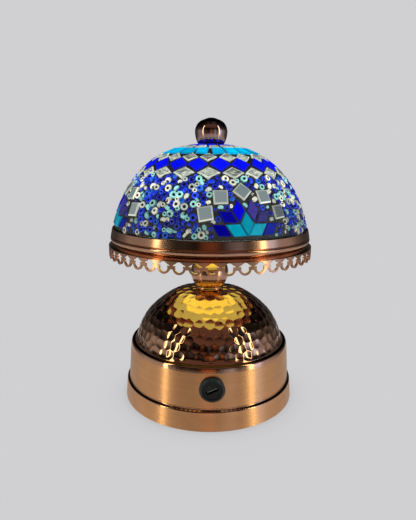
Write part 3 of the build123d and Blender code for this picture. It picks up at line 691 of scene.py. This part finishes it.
def mosaic_pieces(tiles, materials):
    """One piece per group of tiles."""
    rng = np.random.default_rng(SEED)
    for name, (looks, slot, nodes) in GROUPS.items():
        vertices, faces, tints, flags, flat = [], [], [], [], []
        start = 0
        for look, s, azimuth, corners in tiles:
            if look not in looks:
                continue
            v, f, t, e, uv = cut_tile(look, s, azimuth, corners, rng)
            vertices.append(v)
            flat.append(uv)
            faces += [tuple(i + start for i in face) for face in f]
            tints += t
            flags += e
            start += len(v)
        made = piece(name, np.vstack(vertices), faces, materials[slot], "shade", nodes, slot, smooth=False)
        paint(made, tints, flags)
        layer = made.data.uv_layers.new(name="UVMap")
        index = np.zeros(len(made.data.loops), np.int32)
        made.data.loops.foreach_get("vertex_index", index)
        layer.data.foreach_set("uv", np.vstack(flat)[index].astype(np.float32).ravel())


# ---- grout ----------------------------------------------------------------------------------
def soft_noise(points, scale, seed):
    """Smooth pseudo-random field from a few sine waves, about -1 to 1."""
    rng = np.random.default_rng(seed)
    total = 0.0
    for _ in range(9):
        direction = rng.normal(0, 1, 3)
        direction /= np.linalg.norm(direction)
        waves = points @ direction * 2 * math.pi / scale * rng.uniform(0.7, 1.6)
        total = total + np.sin(waves + rng.uniform(0, 6.28))
    return total / 4.0


def medallion_distance(points):
    """Distance in millimetres to the nearest medallion's centre on the rim."""
    best = np.full(points.shape[:-1], 1e9)
    for m in range(MEDALLIONS):
        centre, _ = on_shade(MEDALLION_S, MEDALLION_AZ + 360 / MEDALLIONS * m)
        best = np.minimum(best, np.linalg.norm(points - centre, axis=-1))
    return best


def smooth_step(low, high, x):
    """0 at low, 1 at high, level at both ends."""
    t = np.clip((x - low) / (high - low), 0, 1)
    return t * t * (3 - 2 * t)


def grout_shell(mat):
    """The dark bed: nearly flush between tiles, lower between beads, lumpy all over."""
    rows, columns = 190, 540
    first = float(np.interp(CROWN_HOLE_R, ARC[1], ARC[0]))
    s = np.linspace(first, foot_arc(), rows)[:, None]
    azimuth = np.linspace(0, 360, columns, endpoint=False)[None, :]
    points, normals = on_shade(s, azimuth)
    beads = smooth_step(CROWN_EDGE_S - 1, CROWN_EDGE_S + 2, s)
    beads = beads * smooth_step(MEDALLION_GROUT_R - 2, MEDALLION_GROUT_R + 2, medallion_distance(points))
    depth = 0.75 + 0.95 * beads
    depth = depth + 0.16 * soft_noise(points, 2.6, 3) + 0.12 * soft_noise(points, 7.0, 4)
    ends = np.minimum(s - first, foot_arc() - s)
    depth = np.clip(depth, 0.3, 2.3) * np.clip(ends / 0.3 + 0.55, 0.55, 1) ** -1
    outer = points - normals * depth[..., None]
    inner = points - normals * (GLASS_INSET - 0.03)
    vertices = np.vstack([outer.reshape(-1, 3), inner.reshape(-1, 3)])
    count = rows * columns
    faces = grid_faces(rows, columns, flip=True) + grid_faces(rows, columns, offset=count)
    for j in range(columns):
        k = (j + 1) % columns
        faces.append((j, k, count + k, count + j)[::-1])
        last = (rows - 1) * columns
        faces.append((last + j, last + k, count + last + k, count + last + j))
    piece("grout_bed", vertices, faces, mat, "shade", ("mosaic_bed",), "dark_grout")


# ---- beads ----------------------------------------------------------------------------------
def bead_template(sides=16):
    """A short glass tube with rounded ends, axis along z, and a flag on the faces of its hole that weights its
    painted shade.
    """
    outer, hole, half = BEAD_R, BEAD_HOLE_R, BEAD_HALF_L
    upper = [(outer, 0.25 * half), (0.88 * outer, 0.78 * half), (0.62 * outer, half),
             (hole * 1.25, 0.92 * half), (hole, 0.55 * half)]
    profile = [(r, -z) for r, z in reversed(upper)] + upper
    turn = np.linspace(0, 2 * math.pi, sides, endpoint=False)
    vertices = np.array([(r * math.cos(a), r * math.sin(a), z) for r, z in profile for a in turn])
    rows = len(profile)
    faces, flags = [], []
    for i in range(rows):
        for j in range(sides):
            k, n = (j + 1) % sides, (i + 1) % rows
            faces.append((i * sides + j, i * sides + k, n * sides + k, n * sides + j))
            # painted shade weights: full on the hole's wall, partial on its lips
            flags.append(1.0 if i == rows - 1 else (0.35 if i in (0, rows - 2) else 0.0))
    return vertices, np.array(faces), np.array(flags)


def clear_of_tiles(points, tiles, margin):
    """True where a point is at least margin outside every tile's outline."""
    free = np.ones(len(points), bool)
    for _, s, azimuth, corners in tiles:
        origin, along, up, _ = tangent_frame(s, azimuth, 0.0)
        away = points - origin
        near = np.nonzero(np.linalg.norm(away, axis=1) < 11)[0]
        if not len(near):
            continue
        flat = np.stack([away[near] @ along, away[near] @ up], 1)
        outline = np.array(corners)
        inside = np.full(len(near), 1e9)
        for i in range(len(outline)):
            a, b = outline[i], outline[(i + 1) % len(outline)]
            normal = np.array([-(b - a)[1], (b - a)[0]]) / np.linalg.norm(b - a)
            inside = np.minimum(inside, (flat - a) @ normal)
        free[near[inside > -margin]] = False
    return free


def scatter(points, taken, spacing, room):
    """Points from the list, in order, that keep their distance from each other and from those taken."""
    for i, p in enumerate(points):
        if room[i] and all(np.dot(p - q, p - q) > spacing ** 2 for q in near_points(taken, p)):
            taken.setdefault(tuple(np.floor(p / BEAD_CELL).astype(int)), []).append(p)
            yield i


def near_points(taken, p):
    """Points already taken in the cells round p."""
    x, y, z = np.floor(p / BEAD_CELL).astype(int)
    for i in (-1, 0, 1):
        for j in (-1, 0, 1):
            for k in (-1, 0, 1):
                yield from taken.get((x + i, y + j, z + k), ())


BEAD_TINTS = [((0.008, 0.045, 0.80), 0.27), ((0.003, 0.012, 0.42), 0.14), ((0.012, 0.12, 0.70), 0.08),
              ((0.33, 0.78, 0.74), 0.22), ((0.84, 0.86, 0.70), 0.21), ((0.42, 0.50, 0.46), 0.08)]
# painted shade colour for the bead faces that face away from the shade's outside
BEAD_SIDE_SHADE = (0.006, 0.012, 0.035)


def bead_axes(out, rng):
    """Axes of one bead, its hole along the last, and how far it lies from flat."""
    along = np.cross([0, 0, 1], out)
    along /= np.linalg.norm(along)
    up = np.cross(out, along)
    flat = rng.random() < BEAD_FLAT_SHARE
    lean = abs(rng.normal(0, 0.28)) if flat else math.pi / 2 - abs(rng.normal(0, 0.35))
    turn = rng.uniform(0, 2 * math.pi)
    side = along * math.cos(turn) + up * math.sin(turn)
    axis = out * math.cos(lean) + side * math.sin(lean)
    other = np.cross(axis, out if abs(axis @ out) < 0.9 else side)
    other /= np.linalg.norm(other)
    return np.array([other, np.cross(axis, other), axis]), lean


def bead_places(tiles, rng):
    """Points on the bead field, their arc lengths and normals, and (point, size) of each bead."""
    last = foot_arc() - 1.7
    s = rng.uniform(CROWN_EDGE_S - 1.5, last, BEAD_TRIES)
    azimuth = rng.uniform(0, 360, BEAD_TRIES)
    points, normals = on_shade(s, azimuth)
    rim_tiles = [t for t in tiles if t[1] > 45]
    taken = {}
    places = []
    for spacing, margin, size in BEAD_PASSES:
        room = clear_of_tiles(points, rim_tiles, margin)
        places += [(i, size) for i in scatter(points, taken, spacing, room)]
    return s, points, normals, places


def seed_beads(tiles, mat):
    """Beads strewn over the bead field, some flat with the hole showing, some on their side."""
    rng = np.random.default_rng(SEED + 1)
    s, points, normals, places = bead_places(tiles, rng)
    template, quads, flags = bead_template()
    corners = template[quads]
    facing = np.cross(corners[:, 1] - corners[:, 0], corners[:, 3] - corners[:, 0])
    facing /= np.linalg.norm(facing, axis=1)[:, None]
    colours, shares = zip(*BEAD_TINTS)
    shares = np.array(shares)
    vertices, faces, tints, edges = [], [], [], []
    for i, size in places:
        out = normals[i]
        axes, lean = bead_axes(out, rng)
        shape = template * size * rng.uniform(0.92, 1.05)
        shape = shape * [1, 1, rng.uniform(0.85, 1.1)]
        half = BEAD_HALF_L + (BEAD_R - BEAD_HALF_L) * math.sin(lean)
        centre = points[i] - out * (half * size + rng.uniform(-0.1, 0.35))
        faces.append(quads + len(vertices) * len(template))
        vertices.append(centre + shape @ axes)
        tint = np.array(colours[rng.choice(len(shares), p=shares / shares.sum())])
        # painted shade: beads darker towards the rim, where less of the lamp's light reaches them
        dim = 1 - 0.6 * smooth_step(58, 86, s[i])
        tint = np.clip(tint * dim * (1 + rng.normal(0, 0.18)), 0, 1)
        # painted shade on bead faces that face away from the outward normal
        side_shade = 0.85 * (1 - smooth_step(0.15, 0.8, facing @ (axes @ out)))[:, None]
        tints.append(tint * (1 - side_shade) + np.array(BEAD_SIDE_SHADE) * side_shade)
        edges.append(flags)
    faces = [tuple(f) for f in np.vstack(faces).tolist()]
    made = piece("glass_beads", np.vstack(vertices), faces, mat, "shade", ("seed_beads",), "bead_glass")
    paint(made, np.vstack(tints), np.concatenate(edges))


# ---- hammered dome --------------------------------------------------------------------------
DOME_SECTION = [(51.6, 40.22), (50.6, 41.8), (49.05, 45.8), (47.5, 49.8), (45.6, 53.6), (43.1, 57.4),
                (38.6, 62.3), (33.0, 66.9), (22.6, 72.9), (16.0, 74.15), (9.6, 74.4), (5.15, 74.4)]
DIMPLE_PITCH = 6.1
DIMPLE_ROW = 5.3
HAMMER_R = 14.0
DIMPLE_DEPTH = 0.40
SHEET = 0.8
DOME_ROWS, DOME_COLUMNS = 230, 820
DIMPLED = (3.6, 5.5)        # where the marks begin above the foot and end before the neck


def smooth_section(points, count):
    """Evenly spaced points on a smooth curve through the given ones, and their arc lengths."""
    points = np.array(points, float)
    knots = np.concatenate([[0], np.cumsum(np.linalg.norm(np.diff(points, axis=0), axis=1))])
    slopes = np.gradient(points, knots, axis=0)
    at = np.linspace(0, knots[-1], count)
    i = np.clip(np.searchsorted(knots, at, side="right") - 1, 0, len(points) - 2)
    width = (knots[i + 1] - knots[i])[:, None]
    t = ((at - knots[i]) / width[:, 0])[:, None]
    h = [2 * t ** 3 - 3 * t ** 2 + 1, t ** 3 - 2 * t ** 2 + t, 3 * t ** 2 - 2 * t ** 3, t ** 3 - t ** 2]
    curve = h[0] * points[i] + h[1] * width * slopes[i] + h[2] * points[i + 1] + h[3] * width * slopes[i + 1]
    return curve, at


def hammer_marks(curve, arc, first, last):
    """(arc length, turn, radius, depth) of each mark, in staggered rows."""
    rng = np.random.default_rng(SEED + 2)
    marks = []
    ring_count = int((last - first) / DIMPLE_ROW)
    for ring_index in range(ring_count + 1):
        s = first + ring_index * (last - first) / ring_count
        r = np.interp(s, arc, curve[:, 0])
        count = max(6, round(2 * math.pi * r / DIMPLE_PITCH))
        for i in range(count):
            turn = 2 * math.pi * (i + 0.5 * (ring_index % 2)) / count + rng.normal(0, 0.6) / r
            marks.append((s + rng.normal(0, 0.55), turn, r, DIMPLE_DEPTH * rng.uniform(0.75, 1.2)))
    return marks


def mark_depth(curve, arc, azimuth, last, marks):
    """How far each point of the dome is driven in: cups that meet in soft ridges."""
    depth = np.zeros((DOME_ROWS, DOME_COLUMNS))
    soft, edge = 0.03, 0.05
    for s, turn, r, deep in marks:
        lines = np.nonzero(np.abs(arc - s) < 5.2)[0]
        around = (azimuth - turn + math.pi) % (2 * math.pi) - math.pi
        reach = np.nonzero(np.abs(around) * r < 5.4)[0]
        away = (arc[lines, None] - s) ** 2 + (around[None, reach] * curve[lines, :1]) ** 2
        cup = deep - away / (2 * HAMMER_R)
        block = depth[np.ix_(lines, reach)]
        depth[np.ix_(lines, reach)] = soft * np.logaddexp(block / soft, cup / soft)
    depth = np.where(depth > edge, depth, edge * np.exp(depth / edge - 1)) - 0.035
    fade = smooth_step(0.4, 2.6, arc) * (1 - smooth_step(last + 1.5, last + 3.5, arc))
    return np.maximum(depth, 0) * fade[:, None]


def hammered_dome(mat):
    """Spun dome covered with hammer marks outside and smooth inside."""
    curve, arc = smooth_section(DOME_SECTION, DOME_ROWS)
    tangent = np.gradient(curve, arc, axis=0)
    normal = np.stack([tangent[:, 1], -tangent[:, 0]], 1)
    normal /= np.linalg.norm(normal, axis=1)[:, None]
    azimuth = np.linspace(0, 2 * math.pi, DOME_COLUMNS, endpoint=False)
    first, last = DIMPLED[0], arc[-1] - DIMPLED[1]
    depth = mark_depth(curve, arc, azimuth, last, hammer_marks(curve, arc, first, last))
    r = curve[:, :1] - depth * normal[:, :1]
    z = curve[:, 1:] - depth * normal[:, 1:]
    outer = np.stack([r * np.sin(azimuth), -r * np.cos(azimuth), z + 0 * azimuth], -1)
    inner_r = (curve[:, 0] - SHEET * normal[:, 0])[:, None]
    inner_z = (curve[:, 1] - SHEET * normal[:, 1])[:, None]
    inner_r[-1] = curve[-1, 0]
    coarse = sorted({*range(0, DOME_ROWS, 10), DOME_ROWS - 1})
    inner = np.stack([inner_r * np.sin(azimuth), -inner_r * np.cos(azimuth), inner_z + 0 * azimuth], -1)[coarse]
    count = DOME_ROWS * DOME_COLUMNS
    vertices = np.vstack([outer.reshape(-1, 3), inner.reshape(-1, 3)])
    faces = grid_faces(DOME_ROWS, DOME_COLUMNS) + grid_faces(len(inner), DOME_COLUMNS, offset=count, flip=True)
    top, inner_top = (DOME_ROWS - 1) * DOME_COLUMNS, count + (len(inner) - 1) * DOME_COLUMNS
    for j in range(DOME_COLUMNS):
        k = (j + 1) % DOME_COLUMNS
        faces.append((j, count + j, count + k, k))
        faces.append((top + j, top + k, inner_top + k, inner_top + j))
    piece("hammered_cover", vertices, faces, mat, "root", ("hammered_dome",), "polished_copper")


# ---- CAD nodes: finishes --------------------------------------------------------------------
# the receptacle gets near-black nickel: painted shade inside the socket's slot
PORT_FINISH = {"port_receptacle": "dark_nickel", "port_tongue": "grey_plastic",
               "port_housing": "port_plastic"}


def finish_nodes(looks):
    """Each CAD node gets the finish of its material slot."""
    slots = {row["node"]: row["material_slot"] for row in frame["record"]["subparts"]}
    for name, thing in frame["nodes"].items():
        thing.data.materials.clear()
        thing.data.materials.append(looks[PORT_FINISH.get(name, slots[name])])


def slot_looks():
    """A finish for every material slot of the record."""
    glass = lit_glass()
    copper, copper_dark = (0.66, 0.36, 0.23), (0.52, 0.28, 0.18)
    bronze, bronze_dark = (0.48, 0.31, 0.29), (0.38, 0.24, 0.22)
    return {
        "brushed_copper": brushed_copper(),
        "polished_copper": polished_copper("polished_copper", copper, copper_dark, 0.12, 0.22),
        "bronze_ball": polished_copper("bronze_ball", bronze, bronze_dark, 0.04, 0.08, 110),
        "plated_steel": plated_steel(),
        "brass_terminal": moulded("brass_terminal", (0.62, 0.44, 0.17), (0.78, 0.60, 0.30), 0.3,
                                  900, 0.1, 1.0),
        "fibre_washer": moulded("fibre_washer", (0.34, 0.09, 0.06), (0.50, 0.15, 0.10), 0.7),
        "black_plastic": moulded("black_plastic", (0.012, 0.013, 0.015), (0.022, 0.024, 0.028), 0.42),
        "port_plastic": port_plastic(),
        "grey_plastic": moulded("grey_plastic", (0.10, 0.11, 0.12), (0.16, 0.17, 0.18), 0.4),
        # near-black nickel: painted shade for the receptacle inside its slot
        "dark_nickel": moulded("dark_nickel", (0.035, 0.037, 0.040), (0.06, 0.063, 0.067), 0.28,
                               700, 0.1, 1.0),
        "white_plastic": moulded("white_plastic", (0.74, 0.73, 0.68), (0.86, 0.85, 0.80), 0.45),
        "clear_lens": moulded("clear_lens", (0.004, 0.005, 0.006), (0.01, 0.012, 0.014), 0.12, 800, 0.02),
        "soft_rubber": moulded("soft_rubber", (0.03, 0.03, 0.03), (0.06, 0.06, 0.06), 0.8),
        "felt": felt(),
        "glow_plate": glow_plate(),
        "led_board": moulded("led_board", (0.74, 0.75, 0.73), (0.86, 0.86, 0.84), 0.4, 600),
        "led_chip": led_chip(),
        "shade_glass": shade_glass(),
        "dark_grout": grout(),
        "cobalt_glass": glass, "cyan_glass": glass, "turquoise_glass": glass,
        "clear_bevel_glass": ribbed_glass(),
        "mirror_glass": mirror_glass(),
        "bead_glass": bead_glass(),
        "cell_wrap": moulded("cell_wrap", (0.03, 0.13, 0.34), (0.05, 0.18, 0.42), 0.25, 500, 0.05),
        "green_board": moulded("green_board", (0.01, 0.11, 0.045), (0.02, 0.17, 0.07), 0.3, 700, 0.2),
        "chip_black": moulded("chip_black", (0.015, 0.015, 0.015), (0.03, 0.03, 0.03), 0.55),
        "lead_black": moulded("lead_black", (0.012, 0.012, 0.012), (0.022, 0.022, 0.022), 0.5),
        "lead_red": moulded("lead_red", (0.35, 0.012, 0.01), (0.46, 0.02, 0.018), 0.45),
        "lead_white": moulded("lead_white", (0.66, 0.66, 0.63), (0.76, 0.76, 0.73), 0.5),
    }


def led_chip():
    """Phosphor-covered chip, lit."""
    mat, tree, shader = material("led_chip")
    speck = noise(tree, 1800, 2.0, 0.5)
    tone = mix(tree, speck, (0.95, 0.72, 0.22), (1.0, 0.86, 0.42))
    join(tree, tone, shader.inputs["Base Color"])
    join(tree, tone, shader.inputs["Emission Color"])
    shader.inputs["Emission Strength"].default_value = 4.0
    return mat


# ---- studio ---------------------------------------------------------------------------------
# what stands round the lamp at each azimuth (degrees, 0 at -Y, + towards +X): grey or colour
STUDIO_WALLS = [(-180, 0.05), (-130, 0.06), (-110, 0.20), (-98, 0.40), (-76, 0.40), (-66, 0.50), (-55, 0.30),
                (-50, 0.20), (-40, 0.03), (-28, 0.06), (-14, 0.02), (-5, (0.30, 0.12, 0.06)),
                (5, (0.36, 0.15, 0.07)), (13, 0.03), (22, (0.24, 0.27, 0.38)), (33, (0.42, 0.46, 0.58)),
                (40, 0.08), (50, 0.24), (55, (0.75, 0.70, 0.50)), (64, (0.80, 0.90, 1.20)),
                (66, (1.0, 1.3, 2.0)), (74, (1.0, 1.3, 2.0)), (79, (0.50, 0.50, 0.62)), (100, 0.34),
                (112, 0.16), (130, 0.06), (180, 0.05)]
STUDIO_STRIPS = [(-64.5, 0.0), (-62.7, 1.0), (-58.3, 1.0), (-56.5, 0.0),
                 (56.0, 0.0), (57.8, 1.0), (62.2, 1.0), (64.0, 0.0)]
STRIP_COLOUR = (4.8, 4.6, 2.9)
FRONT_AZIMUTH = [(-62, 0.0), (-42, 1.0), (42, 1.0), (62, 0.0)]
FRONT_HEIGHT = [(0.40, 0.0), (0.60, 1.0), (0.85, 1.0), (0.96, 0.0)]
FRONT_COLOUR = (0.15, 0.092, 0.072)
# how strong walls and strips are, and where the table takes over, at each height of the direction
WALL_HEIGHT = [(-1.0, 0.4), (-0.3, 1.0), (0.08, 1.0), (0.30, 0.20), (0.50, 0.04), (0.9, 0.03), (1.0, 0.15)]
STRIP_HEIGHT = [(-1.0, 0.4), (-0.3, 1.0), (0.62, 1.0), (0.75, 0.0)]
STUDIO_TABLE = [(-0.31, 0.87), (-0.15, 0.0)]
TABLE_COLOUR = (0.60, 0.57, 0.53)


def studio_room(tree):
    """What a ray that leaves the lamp meets: walls, front wall, lit strips and the table."""
    place = node(tree, "ShaderNodeTexCoord")
    parts = node(tree, "ShaderNodeSeparateXYZ")
    join(tree, place.outputs["Generated"], parts.inputs["Vector"])
    front = node(tree, "ShaderNodeMath", operation="MULTIPLY")
    join(tree, parts.outputs["Y"], front.inputs[0])
    front.inputs[1].default_value = -1
    around = node(tree, "ShaderNodeMath", operation="ARCTAN2")
    join(tree, parts.outputs["X"], around.inputs[0])
    join(tree, front.outputs[0], around.inputs[1])
    turn = spread(tree, around.outputs[0], -math.pi, math.pi)
    height = spread(tree, parts.outputs["Z"], -1, 1)
    walls, strips, ahead = [ramp(tree, turn, [((a + 180) / 360, value) for a, value in stops])
                            for stops in (STUDIO_WALLS, STUDIO_STRIPS, FRONT_AZIMUTH)]
    wall_fade, strip_fade, table, ahead_fade = [
        ramp(tree, height, [((z + 1) / 2, value) for z, value in stops])
        for stops in (WALL_HEIGHT, STRIP_HEIGHT, STUDIO_TABLE, FRONT_HEIGHT)]
    room = mix(tree, 1.0, walls, wall_fade, "MULTIPLY")
    room = mix(tree, mix(tree, 1.0, ahead, ahead_fade, "MULTIPLY"), room, FRONT_COLOUR)
    room = mix(tree, mix(tree, 1.0, strips, strip_fade, "MULTIPLY"), room, STRIP_COLOUR)
    return mix(tree, table, room, TABLE_COLOUR)


def studio_world():
    """Pale to the camera; to everything else a studio with dark walls and two lit strips."""
    world = bpy.data.worlds.new("studio")
    bpy.context.scene.world = world
    world.use_nodes = True
    tree = world.node_tree
    tree.nodes.clear()
    out = node(tree, "ShaderNodeOutputWorld")
    pale = node(tree, "ShaderNodeBackground", Color=(*BACKGROUND, 1), Strength=1.0)
    dim = node(tree, "ShaderNodeBackground", Strength=1.0)
    join(tree, studio_room(tree), dim.inputs["Color"])
    seen = node(tree, "ShaderNodeLightPath")
    choose = node(tree, "ShaderNodeMixShader")
    join(tree, seen.outputs["Is Camera Ray"], choose.inputs[0])
    join(tree, dim.outputs[0], choose.inputs[1])
    join(tree, pale.outputs[0], choose.inputs[2])
    join(tree, choose.outputs[0], out.inputs["Surface"])


def floor():
    """A pale round floor that fades into the background, with a painted contact shadow round the lamp's base.
    """
    mat = bpy.data.materials.new("floor")
    mat.use_nodes = True
    tree = mat.node_tree
    tree.nodes.clear()
    out = node(tree, "ShaderNodeOutputMaterial")
    place = node(tree, "ShaderNodeTexCoord")
    radius = node(tree, "ShaderNodeVectorMath", operation="LENGTH")
    join(tree, place.outputs["Object"], radius.inputs[0])
    # painted shadow: the floor darkens close round the lamp's base
    painted_contact_shadow = ramp(tree, radius.outputs["Value"], [(0.052, 0.55), (0.060, 0.93), (0.072, 0.99), (0.10, 1.0)])
    own = node(tree, "ShaderNodeEmission", Strength=1.0)
    join(tree, mix(tree, 1.0, painted_contact_shadow, BACKGROUND, "MULTIPLY"), own.inputs["Color"])
    join(tree, own.outputs[0], out.inputs["Surface"])
    sides = 96
    turn = np.linspace(0, 2 * math.pi, sides, endpoint=False)
    rings = [np.stack([r * np.cos(turn), r * np.sin(turn), 0 * turn - 0.0002], 1) for r in (0.0, FLOOR_R)]
    mesh = bpy.data.meshes.new("floor")
    mesh.from_pydata(np.vstack(rings).tolist(), [], grid_faces(2, sides, flip=True))
    mesh.materials.append(mat)
    made = bpy.data.objects.new("floor", mesh)
    made.visible_glossy = False
    made.visible_diffuse = False
    made.visible_shadow = False
    bpy.context.scene.collection.objects.link(made)


def fill_light():
    """A large soft box above and in front, kept out of the polished metal's reflections."""
    data = bpy.data.lights.new("fill", "AREA")
    data.size = 0.9
    data.energy = 2.0
    made = bpy.data.objects.new("fill", data)
    made.location = FILL_PLACE
    made.rotation_mode = "QUATERNION"
    made.rotation_quaternion = (Vector((0, 0, 0.1)) - made.location).to_track_quat("-Z", "Y")
    made.visible_glossy = False
    bpy.context.scene.collection.objects.link(made)


def camera():
    data = bpy.data.cameras.new("camera")
    data.lens = LENS
    data.sensor_width = 36.0
    data.clip_start, data.clip_end = 0.01, 50
    made = bpy.data.objects.new("camera", data)
    made.location = CAMERA_PLACE
    made.rotation_mode = "QUATERNION"
    pitch = Quaternion((1, 0, 0), math.radians(90 - CAMERA_PITCH))
    made.rotation_quaternion = pitch @ Quaternion((0, 0, 1), math.radians(CAMERA_ROLL))
    bpy.context.scene.collection.objects.link(made)
    bpy.context.scene.camera = made


def main():
    camera()
    studio_world()
    floor()
    fill_light()
    bpy.context.scene.view_settings.view_transform = "Standard"
    looks = slot_looks()
    finish_nodes(looks)
    tiles = crown_tiles() + medallion_tiles()
    mosaic_pieces(tiles, looks)
    grout_shell(looks["dark_grout"])
    seed_beads(tiles, looks["bead_glass"])
    hammered_dome(polished_copper("hammered_copper", (0.66, 0.36, 0.23), (0.54, 0.29, 0.18), 0.03, 0.07))


main()
